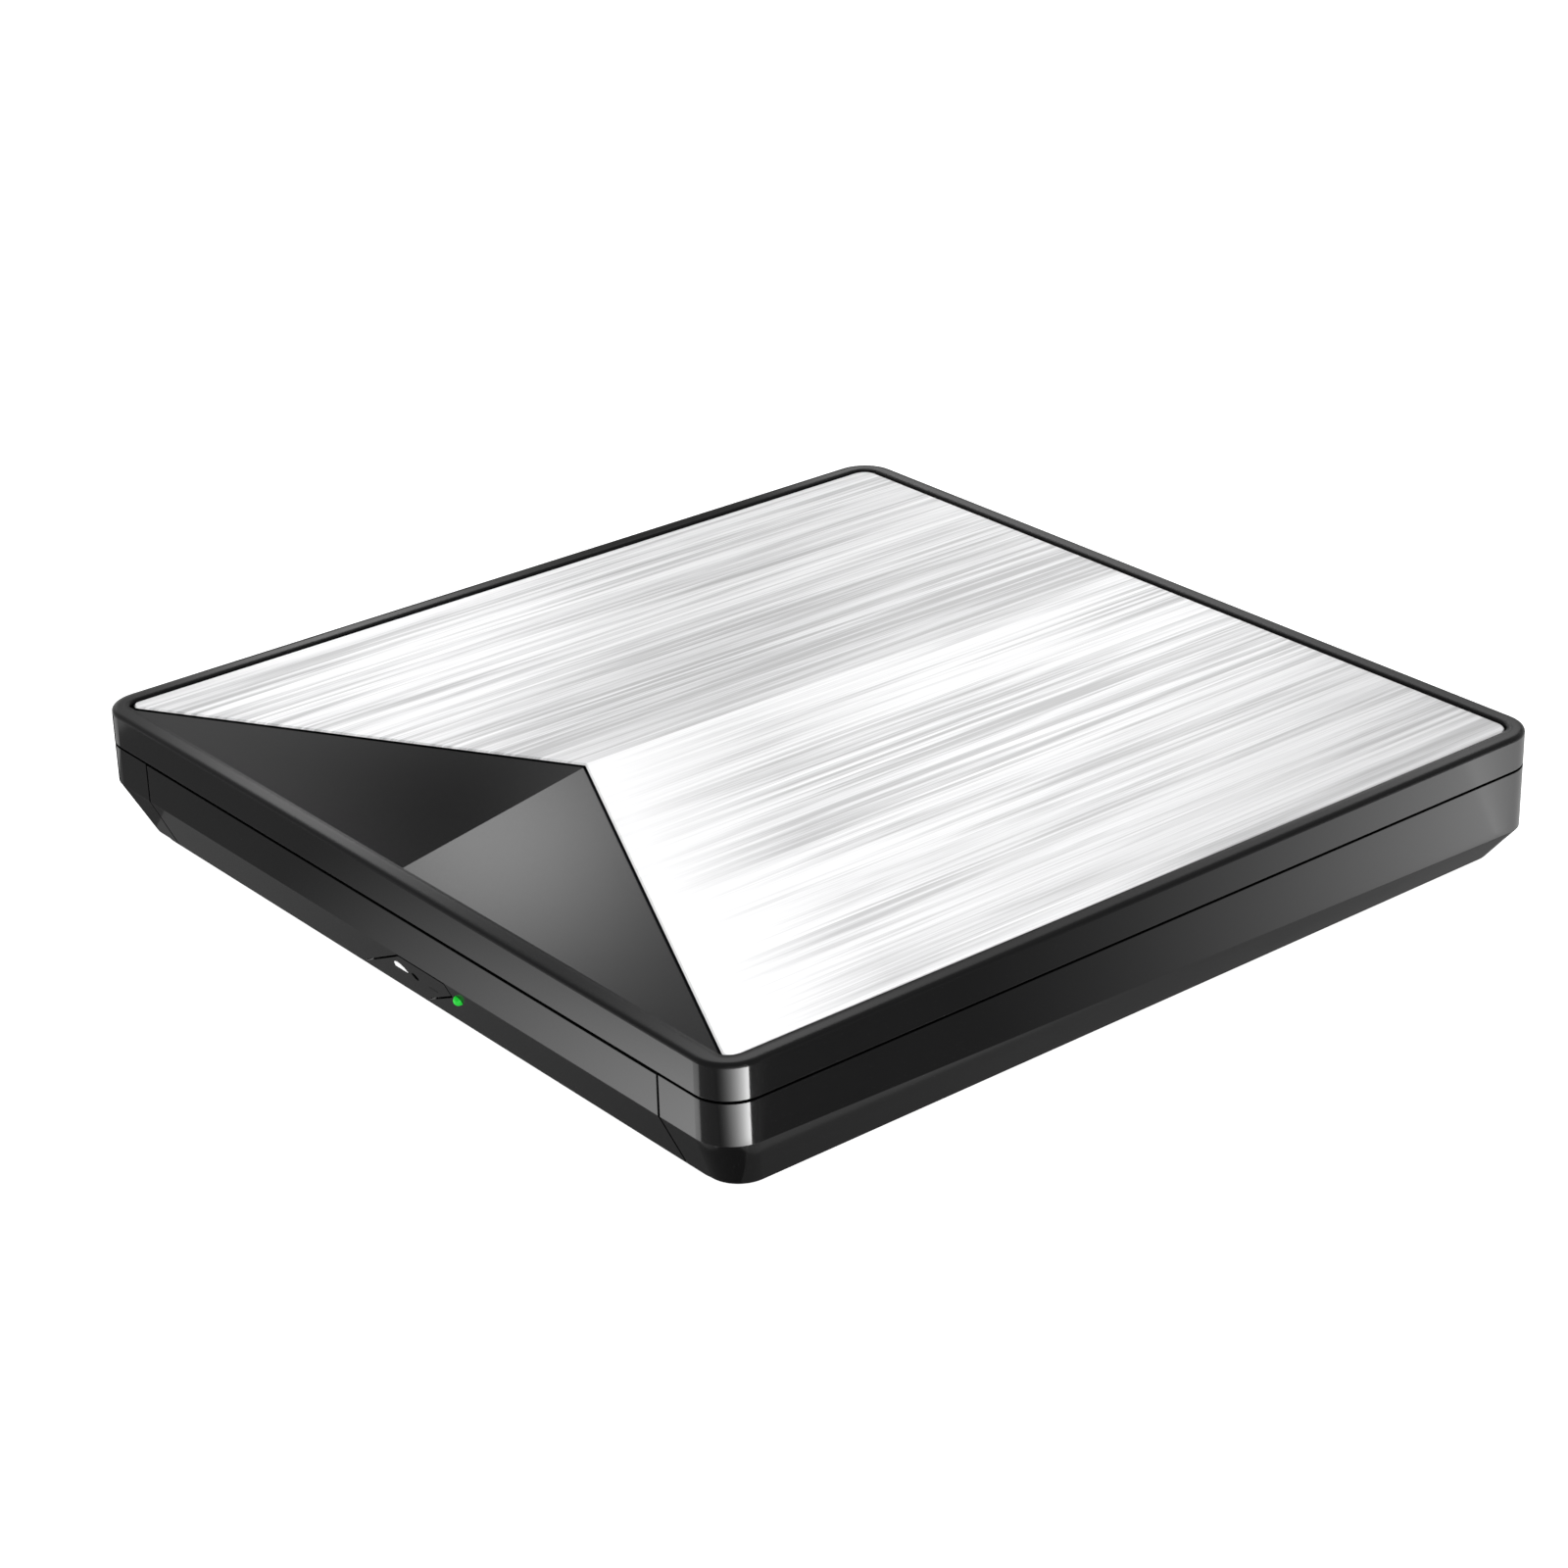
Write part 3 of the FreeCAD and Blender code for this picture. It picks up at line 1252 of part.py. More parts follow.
def make_socket_tongue():
    """Plastic tongue that carries the contacts, rooted in the shell's closed end."""
    middle = (S.socket_low + S.socket_high) / 2
    rear = SOCKET_MOUTH - S.socket_depth + 0.6
    tongue = rounded_bar("tongue_bar", (S.socket_side - 3.3, S.socket_side + 3.3), (rear, SOCKET_MOUTH - 1.2),
                         (middle - 0.35, middle + 0.35), 0.3)
    return node("usb_socket_tongue", tongue)


# ---------------------------------------------------------------- eject pusher

PUSHER_PLACE = (-40.0, 12.6)


def make_eject_pusher():
    """Sprung pusher on the pan's rear wall that starts the tray out."""
    side, level = PUSHER_PLACE
    head_face = S.tray_rear + 0.3
    head = cylinder("pusher_head", 2.0, (side, head_face, level), 1.0, "y")
    rod_start = head_face + 0.5
    rod = cylinder("pusher_rod", 0.9, (side, rod_start, level), S.pan_rear - S.pan_sheet - rod_start, "y")
    return node("eject_pusher", fuse("pusher_solid", head, rod))


def make_eject_spring():
    """Compression spring around the pusher's rod."""
    side, level = PUSHER_PLACE
    wire = 0.25
    coil_radius = 1.5
    start = S.tray_rear.number + 1.3 + wire
    length = S.pan_rear.number - S.pan_sheet.number - wire - start
    helix = Part.makeHelix(length / 4, length, coil_radius)
    section = Part.Wire(Part.makeCircle(wire, VECTOR(coil_radius, 0, 0), VECTOR(0, 1, 0)))
    item = DOC.addObject("Part::Feature", "eject_spring_coil")
    item.Shape = Part.Wire(helix).makePipeShell([section], True, True)
    item.Placement = FreeCAD.Placement(VECTOR(side, start, level), TURNS["y"])
    return node("eject_spring", item)


# ---------------------------------------------------------------- build and write

def build_all():
    make_top_cover()
    make_top_panel()
    make_bottom_cover()
    make_feet()
    make_case_screws()
    make_pan()
    make_lid()
    make_lid_screws()
    make_foam_pads()
    for side, word in ((1, "right"), (-1, "left")):
        make_guide_rail(word + "_guide_rail", side)
        make_slide(word + "_slide", side)
    make_tray()
    make_tray_shield()
    make_front_bezel()
    make_eject_button()
    make_switch_plunger()
    make_button_mark()
    make_tray_board()
    make_eject_switch()
    make_status_led()
    make_light_pipe()
    make_traverse_base()
    make_traverse_cover()
    make_bushings()
    make_traverse_screws()
    make_spindle_motor()
    make_rotor()
    make_turntable()
    make_turntable_pad()
    make_clamp_hub()
    for number, turn in enumerate(CLAW_TURNS, start=1):
        make_claw(f"clamp_claw_{number}", turn)
    make_rod("main_guide_rod", S.main_rod_side)
    make_rod("sub_guide_rod", S.sub_rod_side)
    make_sled()
    make_sled_nut()
    make_lens_holder()
    make_lens()
    make_lead_screw()
    make_sled_motor()
    make_screw_bracket()
    make_latch_pin()
    make_latch_lever()
    make_solenoid()
    make_main_board()
    make_main_chips()
    make_ribbon()
    make_drive_connector()
    make_bridge_connector()
    make_bridge_board()
    make_bridge_chips()
    make_bridge_screws()
    make_socket_shell()
    make_socket_tongue()
    make_eject_pusher()
    make_eject_spring()


def check_all():
    """Stop if any object failed to build or any piece is not a sound solid."""
    for item in DOC.Objects:
        if "Invalid" in item.State or "Error" in item.State:
            raise RuntimeError(f"{item.Name} did not build: {item.State}")
    for label, item in NODES.items():
        shape = item.Shape
        if shape.isNull() or not shape.isValid() or not shape.Solids:
            raise RuntimeError(f"{label} is not a sound solid")


def write_all():
    os.makedirs("parts", exist_ok=True)
    for label, item in NODES.items():
        item.Shape.exportStep(os.path.join("parts", label + ".step"))


build_all()
DOC.recompute()
check_all()
write_all()
print(f"{len(NODES)} pieces written")
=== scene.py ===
import json
import math

import bpy
from mathutils import Matrix, Vector


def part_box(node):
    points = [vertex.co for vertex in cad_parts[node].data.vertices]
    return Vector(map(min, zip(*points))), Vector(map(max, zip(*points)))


# Looks of the external optical drive.  Metres, in the frame of the CAD model: X runs to the right as
# one faces the tray front, Y to the back, Z up, with the origin on the floor under the case.

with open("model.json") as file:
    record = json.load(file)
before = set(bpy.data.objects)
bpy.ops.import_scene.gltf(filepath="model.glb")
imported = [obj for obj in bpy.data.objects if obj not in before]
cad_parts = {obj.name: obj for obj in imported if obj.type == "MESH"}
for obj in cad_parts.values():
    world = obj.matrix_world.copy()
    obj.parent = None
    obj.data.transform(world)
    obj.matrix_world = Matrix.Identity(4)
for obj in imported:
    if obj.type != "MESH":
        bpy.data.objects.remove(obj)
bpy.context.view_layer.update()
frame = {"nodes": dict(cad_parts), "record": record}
NODES = frame["nodes"]

MM = 0.001
NOTCH_TIP = Vector((-8.9, -34.55, 0)) * MM
NOTCH_SLOPE = 0.5              # how much of the notch's right edge runs to the front, for each step right
HALF_WIDTH = 76.0 * MM
HALF_DEPTH = 76.85 * MM
CORNER_RADIUS = 5.8 * MM
RIM_WIDTH = 2.75 * MM
RIM_CROWN_LOW = 20.4 * MM
TAPER_RUN = 4.2 * MM           # how far the case's foot stands back under its walls


# ---------------------------------------------------------------- camera

FOCAL_SHARE = 2.45487          # focal length in widths of the picture
SENSOR_MM = 36.0
CAMERA_AZIMUTH = math.radians(51.252)
CAMERA_HEIGHT = math.radians(25.352)
CAMERA_ROLL = math.radians(-1.504)
CAMERA_DISTANCE = 573.9 * MM
CAMERA_SIDESTEP = -3.405 * MM
CAMERA_DROP = -9.97 * MM
LOOK_AT = Vector((0, 0, 20.67 * MM))


def make_camera():
    """The camera: a long lens that looks down on the near right corner of the case."""
    level = math.cos(CAMERA_HEIGHT)
    back = Vector((
        math.sin(CAMERA_AZIMUTH) * level, -math.cos(CAMERA_AZIMUTH) * level, math.sin(CAMERA_HEIGHT)))
    across = Vector((math.cos(CAMERA_AZIMUTH), math.sin(CAMERA_AZIMUTH), 0))
    above = back.cross(across)
    right = across * math.cos(CAMERA_ROLL) + above * math.sin(CAMERA_ROLL)
    up = above * math.cos(CAMERA_ROLL) - across * math.sin(CAMERA_ROLL)
    camera = bpy.data.objects.new("camera", bpy.data.cameras.new("camera"))
    camera.data.sensor_width = SENSOR_MM
    camera.data.lens = FOCAL_SHARE * SENSOR_MM
    camera.data.clip_start = 10 * MM
    camera.data.clip_end = 20.0
    place = LOOK_AT + right * CAMERA_SIDESTEP + up * CAMERA_DROP + back * CAMERA_DISTANCE
    turn = Matrix((right, up, back)).transposed().to_4x4()
    camera.matrix_world = Matrix.Translation(place) @ turn
    bpy.context.scene.collection.objects.link(camera)
    bpy.context.scene.camera = camera


# ---------------------------------------------------------------- materials

NEARLY_LEVEL = 0.98            # upward part of a nearly level face's normal
FACET_TILT_GAIN = 3.5
# The darker metal colour serves both the real brushing streaks and the painted shade on the panel.
BRIGHT_METAL = (0.85, 0.85, 0.855)
DULL_AND_SHADED_METAL = (0.45, 0.45, 0.455)

SHORT_NAMES = {
    "color": "Base Color", "metallic": "Metallic", "roughness": "Roughness",
    "specular": "Specular IOR Level", "coat": "Coat Weight", "coat_roughness": "Coat Roughness",
    "anisotropic": "Anisotropic", "transmission": "Transmission Weight", "ior": "IOR",
    "emission": "Emission Color", "emission_strength": "Emission Strength",
    "normal": "Normal", "tangent": "Tangent",
}


class Paint:
    """A material under construction, with short calls for the nodes that the finishes share."""

    def __init__(self, name, **constants):
        self.material = bpy.data.materials.new(name)
        self.material.use_nodes = True
        self.tree = self.material.node_tree
        self.shader = self.tree.nodes["Principled BSDF"]
        coordinates = self.node("ShaderNodeTexCoord").outputs
        self.place = coordinates["Object"]
        self.facing = coordinates["Normal"]
        for short_name, value in constants.items():
            if short_name in ("color", "emission"):
                value = (*value, 1.0)
            self.shader.inputs[SHORT_NAMES[short_name]].default_value = value

    def parts(self, vector):
        """The x, y and z of a vector."""
        return self.node("ShaderNodeSeparateXYZ", {0: vector}).outputs

    def node(self, kind, inputs=None, **settings):
        made = self.tree.nodes.new(kind)
        for name, value in settings.items():
            setattr(made, name, value)
        for name, value in (inputs or {}).items():
            self.feed(made.inputs[name], value)
        return made

    def feed(self, socket, value):
        if isinstance(value, bpy.types.NodeSocket):
            self.tree.links.new(value, socket)
        else:
            socket.default_value = value

    def set(self, name, value):
        self.feed(self.shader.inputs[SHORT_NAMES[name]], value)

    def from_middle(self, name):
        """The place on the piece as x, y and z from the middle of that CAD node's box."""
        low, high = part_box(name)
        shifted = self.node(
            "ShaderNodeVectorMath", {0: self.place, 1: tuple((low + high) / 2)}, operation="SUBTRACT")
        return self.parts(shifted.outputs[0])

    def stretched(self, scale):
        """The place on the piece, with each axis multiplied by its own scale, in cycles per metre."""
        return self.node(
            "ShaderNodeVectorMath", {0: self.place, 1: tuple(scale)}, operation="MULTIPLY").outputs[0]

    def noise(self, scale, detail=3.0, roughness=0.5):
        """Noise from 0 to 1; scale is cycles per metre, one number or one for each axis."""
        if not hasattr(scale, "__len__"):
            scale = (scale, scale, scale)
        made = self.node("ShaderNodeTexNoise", {
            "Vector": self.stretched(scale), "Scale": 1.0, "Detail": detail, "Roughness": roughness})
        return made.outputs["Fac"]

    def math(self, operation, first, second=0.0):
        return self.node("ShaderNodeMath", {0: first, 1: second}, operation=operation).outputs[0]

    def sum(self, first, *others):
        for other in others:
            first = self.math("ADD", first, other)
        return first

    def product(self, first, *others):
        for other in others:
            first = self.math("MULTIPLY", first, other)
        return first

    def radius(self, across, upward):
        """Distance from the origin of two lengths at right angles."""
        return self.math("SQRT", self.sum(self.product(across, across), self.product(upward, upward)))

    def waves(self, value, pitch):
        """A sine wave from -1 to 1 along a value, one for each pitch."""
        return self.math("SINE", self.product(value, 2 * math.pi / pitch))

    def range(self, value, low, high, start=0.0, end=1.0):
        """value, from low to high, mapped to start to end and held there outside."""
        return self.node("ShaderNodeMapRange", {
            "Value": value, "From Min": low, "From Max": high, "To Min": start, "To Max": end}).outputs[0]

    def blend(self, factor, first, second):
        """A colour between two, each a colour or a socket."""
        made = self.node("ShaderNodeMix", data_type="RGBA")
        self.feed(made.inputs["Factor"], factor)
        for socket, value in ((made.inputs[6], first), (made.inputs[7], second)):
            self.feed(socket, value if isinstance(value, bpy.types.NodeSocket) else (*value, 1.0))
        return made.outputs[2]

    def bump(self, height, distance, strength=1.0, normal=None):
        """Bumps of that height in metres, on top of another normal if one is given."""
        inputs = {"Height": height, "Distance": distance, "Strength": strength}
        if normal is not None:
            inputs["Normal"] = normal
        return self.node("ShaderNodeBump", inputs).outputs[0]

    def past_edges(self, inset, corner):
        """How far a place lies outside the case's outline set in by that much, with round corners."""
        parts = self.parts(self.place)
        sides = []
        for part, half in ((parts[0], HALF_WIDTH), (parts[1], HALF_DEPTH)):
            past = self.math("SUBTRACT", self.math("ABSOLUTE", part), half - inset - corner)
            sides.append(self.math("MAXIMUM", 0.0, past))
        return self.math("SUBTRACT", self.radius(*sides), corner)

    def soft_edges(self, rounding):
        """A normal that rounds sharp edges by that radius."""
        return self.node("ShaderNodeBevel", {"Radius": rounding}, samples=6).outputs[0]

    def steeper(self, normal, gain):
        """The normal, tilted gain times as far to the side where the face is nearly level."""
        parts = self.parts(normal)
        level = self.math("GREATER_THAN", parts[2], NEARLY_LEVEL)
        factor = self.range(level, 0, 1, 1, gain)
        side = self.product(parts[0], factor)
        tilted = self.node("ShaderNodeCombineXYZ", {"X": side, "Y": parts[1], "Z": parts[2]}).outputs[0]
        return self.node("ShaderNodeVectorMath", {0: tilted}, operation="NORMALIZE").outputs[0]


def moulded_plastic(name, color, roughness, grain, edge=0.15 * MM, specular=0.35, tone=0.15):
    """Injection-moulded plastic: faint cloudiness, fine spark grain and softly rounded edges."""
    paint = Paint(name, specular=specular)
    cloud = paint.noise(60, detail=4)
    lighter = tuple(channel * (1 + tone) for channel in color)
    darker = tuple(channel * (1 - tone) for channel in color)
    paint.set("color", paint.blend(paint.range(cloud, 0.3, 0.7), darker, lighter))
    speck = paint.noise(4500, detail=2)
    paint.set("roughness", paint.range(speck, 0.3, 0.7, roughness - 0.04, roughness + 0.05))
    paint.set("normal", paint.bump(speck, grain, 1.0, paint.soft_edges(edge)))
    return paint.material


def edge_radius(paint):
    """Rounding of the case's edges in the light: wide on top of the rim, so it looks crowned."""
    in_band = paint.math("GREATER_THAN", paint.past_edges(RIM_WIDTH, CORNER_RADIUS - RIM_WIDTH), 0.0)
    on_top = paint.math("GREATER_THAN", paint.parts(paint.place)[2], RIM_CROWN_LOW)
    return paint.range(paint.product(in_band, on_top), 0, 1, 0.12 * MM, 1.0 * MM)


def case_plastic(name, color):
    """Black plastic of the outer case, glossy enough to show soft reflections."""
    paint = Paint(name, specular=0.075)
    cloud = paint.noise(60, detail=4)
    darker = tuple(channel * 0.8 for channel in color)
    paint.set("color", paint.blend(paint.range(cloud, 0.3, 0.7), darker, color))
    speck = paint.noise(5000, detail=2)
    paint.set("roughness", paint.range(speck, 0.3, 0.7, 0.11, 0.14))
    rounded = paint.steeper(paint.soft_edges(edge_radius(paint)), FACET_TILT_GAIN)
    paint.set("normal", paint.bump(speck, 0.0005 * MM, 0.5, rounded))
    return paint.material


def brushing_and_painted_light(paint, hair):
    """How far the panel's metal goes to its darker colour: 0 where it is bright, 1 or more in its darker
    streaks and painted shade.

    The brushing streaks are the metal's own. Painted shade is added in a band to the left of the notch's tip
    and over the right part, and a painted highlight clears the streaks beside the notch.
    """
    right, back, _ = paint.parts(paint.place)
    streak = paint.range(paint.noise((900, 12, 90), detail=4, roughness=0.6), 0.38, 0.62)
    band = paint.range(paint.noise((110, 9, 20), detail=3, roughness=0.6), 0.36, 0.60, 0.15, 1)
    # Painted shade: a darker band that grows from the left up to the notch's tip.
    painted_shade_beside_tip = paint.product(
        paint.range(right, -50 * MM, NOTCH_TIP.x, 0.0, 0.35), paint.math("LESS_THAN", right, NOTCH_TIP.x))
    # The last term is painted shade, darkening the metal toward the panel's right part.
    dull_and_painted_shade = paint.sum(
        paint.product(streak, band), paint.range(hair, 0.40, 0.70, 0.0, 0.40), painted_shade_beside_tip,
        paint.range(right, 5 * MM, 65 * MM, 0.0, 0.32))
    past_notch = paint.sum(back, paint.product(right, NOTCH_SLOPE))
    edge = NOTCH_TIP.y + NOTCH_SLOPE * NOTCH_TIP.x
    # Painted highlight: the streaks are cleared beside the notch's right edge, so the metal there stays
    # bright.
    painted_highlight = paint.product(
        paint.range(past_notch, edge + 4 * MM, edge + 30 * MM, 0.85, 0.0),
        paint.range(right, NOTCH_TIP.x, NOTCH_TIP.x + 1 * MM))
    return paint.product(dull_and_painted_shade, paint.math("SUBTRACT", 1.0, painted_highlight))


def brushed_aluminium_with_painted_light():
    """The panel: metal brushed from front to back in long streaks, with painted shade and a painted
    highlight on it, and its upright cut edges painted near black as a painted shadow line.
    """
    paint = Paint("brushed_aluminium_with_painted_light", metallic=1.0, anisotropic=0.5)
    hair = paint.noise((3200, 22, 300), detail=5, roughness=0.7)
    # The metal colour: brushing streaks, with painted shade and a painted highlight mixed in.
    metal = paint.blend(brushing_and_painted_light(paint, hair), BRIGHT_METAL, DULL_AND_SHADED_METAL)
    # Painted shadow: upright faces, the panel's cut edges, are coloured near black as a dark line along the
    # gaps round the panel.
    upright = paint.math("LESS_THAN", paint.parts(paint.facing)[2], 0.3)
    paint.set("color", paint.blend(upright, metal, (0.03, 0.03, 0.03)))
    paint.set("roughness", paint.range(hair, 0.3, 0.7, 0.33, 0.42))
    paint.set("tangent", paint.node("ShaderNodeCombineXYZ", {"Y": 1.0}).outputs[0])
    paint.set("normal", paint.bump(hair, 0.004 * MM, 0.5, paint.soft_edges(0.1 * MM)))
    return paint.material


def sheet_steel(name, color=(0.62, 0.63, 0.64), roughness=0.34):
    """Zinc-plated pressed sheet: cloudy plating and faint rolling lines."""
    paint = Paint(name, metallic=1.0)
    cloud = paint.noise(140, detail=5, roughness=0.6)
    lines = paint.noise((1800, 25, 1800), detail=3)
    darker = tuple(channel * 0.78 for channel in color)
    paint.set("color", paint.blend(paint.range(cloud, 0.35, 0.7), color, darker))
    paint.set("roughness", paint.range(cloud, 0.3, 0.7, roughness - 0.06, roughness + 0.08))
    paint.set("normal", paint.bump(lines, 0.004 * MM, 0.5, paint.soft_edges(0.08 * MM)))
    return paint.material


def polished_steel(name, color=(0.75, 0.76, 0.78)):
    """Ground and polished steel with hairline scratches."""
    paint = Paint(name, metallic=1.0, color=color)
    scratch = paint.noise((900, 900, 5000), detail=4, roughness=0.7)
    paint.set("roughness", paint.range(scratch, 0.3, 0.75, 0.10, 0.24))
    paint.set("normal", paint.bump(scratch, 0.002 * MM, 0.4))
    return paint.material


def threaded_steel():
    """The lead screw: three thread starts of one millimetre pitch, cut around its own axis.

    The screw lies level, half way between the X and Y directions.
    """
    pitch = 1.0 * MM
    starts = 3.0
    paint = Paint("threaded_steel", metallic=1.0, color=(0.70, 0.70, 0.71))
    right, back, upward = paint.from_middle("lead_screw")
    along = paint.product(paint.sum(right, back), math.sqrt(0.5))
    across = paint.product(paint.math("SUBTRACT", back, right), math.sqrt(0.5))
    angle = paint.math("ARCTAN2", upward, across)
    turns = paint.product(along, 2 * math.pi / pitch)
    thread = paint.math("SINE", paint.sum(turns, paint.product(angle, starts)))
    paint.set("roughness", paint.range(thread, -1, 1, 0.42, 0.20))
    paint.set("normal", paint.bump(thread, 0.12 * MM, 0.8))
    return paint.material


def contact_tongue():
    """Tongue of the USB socket: black plastic with a row of gold contacts on both flat sides."""
    paint = Paint("contact_tongue", specular=0.4)
    right = paint.from_middle("usb_socket_tongue")[0]
    rows = paint.range(paint.waves(right, 0.5 * MM), 0.0, 0.2)
    inside = paint.math("LESS_THAN", paint.math("ABSOLUTE", right), 3.0 * MM)
    flat_side = paint.math("GREATER_THAN", paint.math("ABSOLUTE", paint.parts(paint.facing)[2]), 0.9)
    contact = paint.product(rows, inside, flat_side)
    paint.set("color", paint.blend(contact, (0.02, 0.02, 0.02), (0.90, 0.66, 0.28)))
    paint.set("metallic", contact)
    paint.set("roughness", paint.range(contact, 0, 1, 0.5, 0.22))
    paint.set("normal", paint.bump(contact, 0.02 * MM, 0.6))
    return paint.material


def turned_steel():
    """Motor parts: fine rings left by the lathe, around the spindle."""
    paint = Paint("turned_steel", metallic=1.0, color=(0.66, 0.66, 0.68))
    right, back, _ = paint.from_middle("spindle_rotor")
    rings = paint.waves(paint.radius(right, back), 0.22 * MM)
    paint.set("roughness", paint.range(rings, -1, 1, 0.22, 0.34))
    paint.set("normal", paint.bump(rings, 0.003 * MM, 0.5, paint.soft_edges(0.1 * MM)))
    return paint.material


def rubber(name, color=(0.022, 0.022, 0.022)):
    """Matt rubber with a powdery bloom."""
    paint = Paint(name, specular=0.25)
    dust = paint.noise(900, detail=5, roughness=0.7)
    bloom = tuple(channel * 2.2 for channel in color)
    paint.set("color", paint.blend(paint.range(dust, 0.5, 0.8), color, bloom))
    paint.set("roughness", paint.range(dust, 0.3, 0.7, 0.72, 0.9))
    paint.set("normal", paint.bump(dust, 0.02 * MM, 0.6, paint.soft_edges(0.2 * MM)))
    return paint.material


def foam():
    """Open-cell foam: small pores, sunk by the bump and painted darker as shade in them."""
    paint = Paint("cell_foam", specular=0.1, roughness=0.95)
    cells = paint.node("ShaderNodeTexVoronoi", {
        "Vector": paint.stretched((2200, 2200, 2200)), "Scale": 1.0}).outputs["Distance"]
    # Painted shade: the pores are coloured darker than the foam around them.
    paint.set("color", paint.blend(paint.range(cells, 0.15, 0.6), (0.02, 0.02, 0.02), (0.15, 0.15, 0.155)))
    paint.set("normal", paint.bump(cells, 0.15 * MM))
    return paint.material


def circuit_board():
    """Solder mask over copper tracks, with tinned pads at the ends of some of them."""
    paint = Paint("solder_mask", specular=0.5, coat=0.3, coat_roughness=0.15)
    brick = paint.node("ShaderNodeTexBrick", {
        "Vector": paint.stretched((420, 420, 420)), "Scale": 1.0, "Mortar Size": 0.06,
        "Mortar Smooth": 0.1, "Brick Width": 1.7, "Row Height": 0.35}, offset=0.37, offset_frequency=3)
    tracks = brick.outputs["Fac"]
    cells = paint.node("ShaderNodeTexVoronoi", {
        "Vector": paint.stretched((330, 330, 330)), "Scale": 1.0}).outputs["Distance"]
    pads = paint.range(cells, 0.10, 0.14, 1.0, 0.0)
    mask = paint.blend(tracks, (0.008, 0.075, 0.03), (0.02, 0.17, 0.07))
    paint.set("color", paint.blend(pads, mask, (0.72, 0.70, 0.62)))
    paint.set("metallic", pads)
    paint.set("roughness", paint.range(paint.noise(1200), 0.3, 0.7, 0.28, 0.42))
    height = paint.sum(tracks, pads)
    paint.set("normal", paint.bump(height, 0.03 * MM, 0.8, paint.soft_edges(0.08 * MM)))
    return paint.material


def lens_glass():
    """Coated objective lens."""
    paint = Paint("coated_glass", transmission=0.75, ior=1.52, roughness=0.03, coat=1.0, coat_roughness=0.02)
    edge = paint.node("ShaderNodeLayerWeight", {"Blend": 0.35}).outputs["Facing"]
    paint.set("color", paint.blend(edge, (0.22, 0.30, 0.62), (0.55, 0.35, 0.75)))
    return paint.material


def lit_plastic():
    """The light pipe, lit green by the lamp behind it, a little unevenly."""
    paint = Paint("lit_green", roughness=0.25, color=(0.0, 0.15, 0.01), specular=0.1, emission_strength=1.0)
    uneven = paint.noise(1400, detail=1)
    paint.set("emission", paint.blend(paint.range(uneven, 0.3, 0.7), (0.0, 0.32, 0.01), (0.03, 0.52, 0.05)))
    return paint.material


def white_ink():
    """Satin white mark, with a slightly uneven print."""
    paint = Paint("white_ink", specular=0.4)
    print_grain = paint.noise(3500, detail=3)
    paint.set("color", paint.blend(paint.range(print_grain, 0.4, 0.75), (0.9, 0.9, 0.9), (0.72, 0.72, 0.72)))
    paint.set("roughness", paint.range(print_grain, 0.3, 0.7, 0.35, 0.5))
    return paint.material


def ribbon_film():
    """Polyester ribbon with bright conductors side by side."""
    paint = Paint("ribbon_film", specular=0.5)
    wires = paint.range(paint.waves(paint.parts(paint.place)[0], 0.8 * MM), -0.2, 0.2)
    paint.set("color", paint.blend(wires, (0.86, 0.84, 0.76), (0.45, 0.44, 0.42)))
    paint.set("roughness", paint.range(wires, 0, 1, 0.45, 0.3))
    paint.set("normal", paint.bump(wires, 0.03 * MM, 0.6))
    return paint.material


def make_finishes():
    """One material for each of the record's slots."""
    return {
        "case_plastic": case_plastic("case_plastic_look", (0.0030, 0.0030, 0.0031)),
        "bezel_plastic": case_plastic("bezel_plastic_look", (0.0032, 0.0032, 0.0033)),
        "tray_plastic": moulded_plastic("tray_plastic_look", (0.016, 0.016, 0.017), 0.48, 0.012 * MM),
        "panel_aluminium": brushed_aluminium_with_painted_light(),
        "pan_steel": sheet_steel("plated_sheet"),
        "slide_steel": sheet_steel("slide_sheet", (0.55, 0.56, 0.57), 0.28),
        "polished_steel": polished_steel("polished_steel_look"),
        "screw_steel": sheet_steel("black_oxide", (0.045, 0.045, 0.05), 0.38),
        "rubber_black": rubber("black_rubber"),
        "foam_grey": foam(),
        "rail_plastic": moulded_plastic("acetal", (0.62, 0.61, 0.57), 0.36, 0.004 * MM, tone=0.05),
        "board_green": circuit_board(),
        "chip_black": moulded_plastic("chip_epoxy", (0.018, 0.018, 0.02), 0.55, 0.02 * MM, 0.05 * MM),
        "connector_plastic": moulded_plastic("connector_look", (0.03, 0.03, 0.03), 0.42, 0.006 * MM),
        "cover_black": moulded_plastic("cover_look", (0.012, 0.012, 0.013), 0.55, 0.015 * MM),
        "rotor_steel": turned_steel(),
        "hub_plastic": moulded_plastic("hub_look", (0.035, 0.035, 0.038), 0.35, 0.004 * MM),
        "claw_plastic": moulded_plastic("claw_look", (0.55, 0.55, 0.52), 0.35, 0.004 * MM, tone=0.05),
        "sled_metal": sheet_steel("die_cast", (0.48, 0.48, 0.50), 0.5),
        "holder_plastic": moulded_plastic("holder_look", (0.025, 0.025, 0.03), 0.4, 0.005 * MM),
        "lens_glass": lens_glass(),
        "mark_white": white_ink(),
        "light_clear": lit_plastic(),
        "led_white": moulded_plastic("led_look", (0.8, 0.82, 0.7), 0.35, 0.003 * MM, tone=0.05),
        "ribbon_plastic": ribbon_film(),
        "spring_steel": polished_steel("spring_wire", (0.68, 0.68, 0.70)),
    }


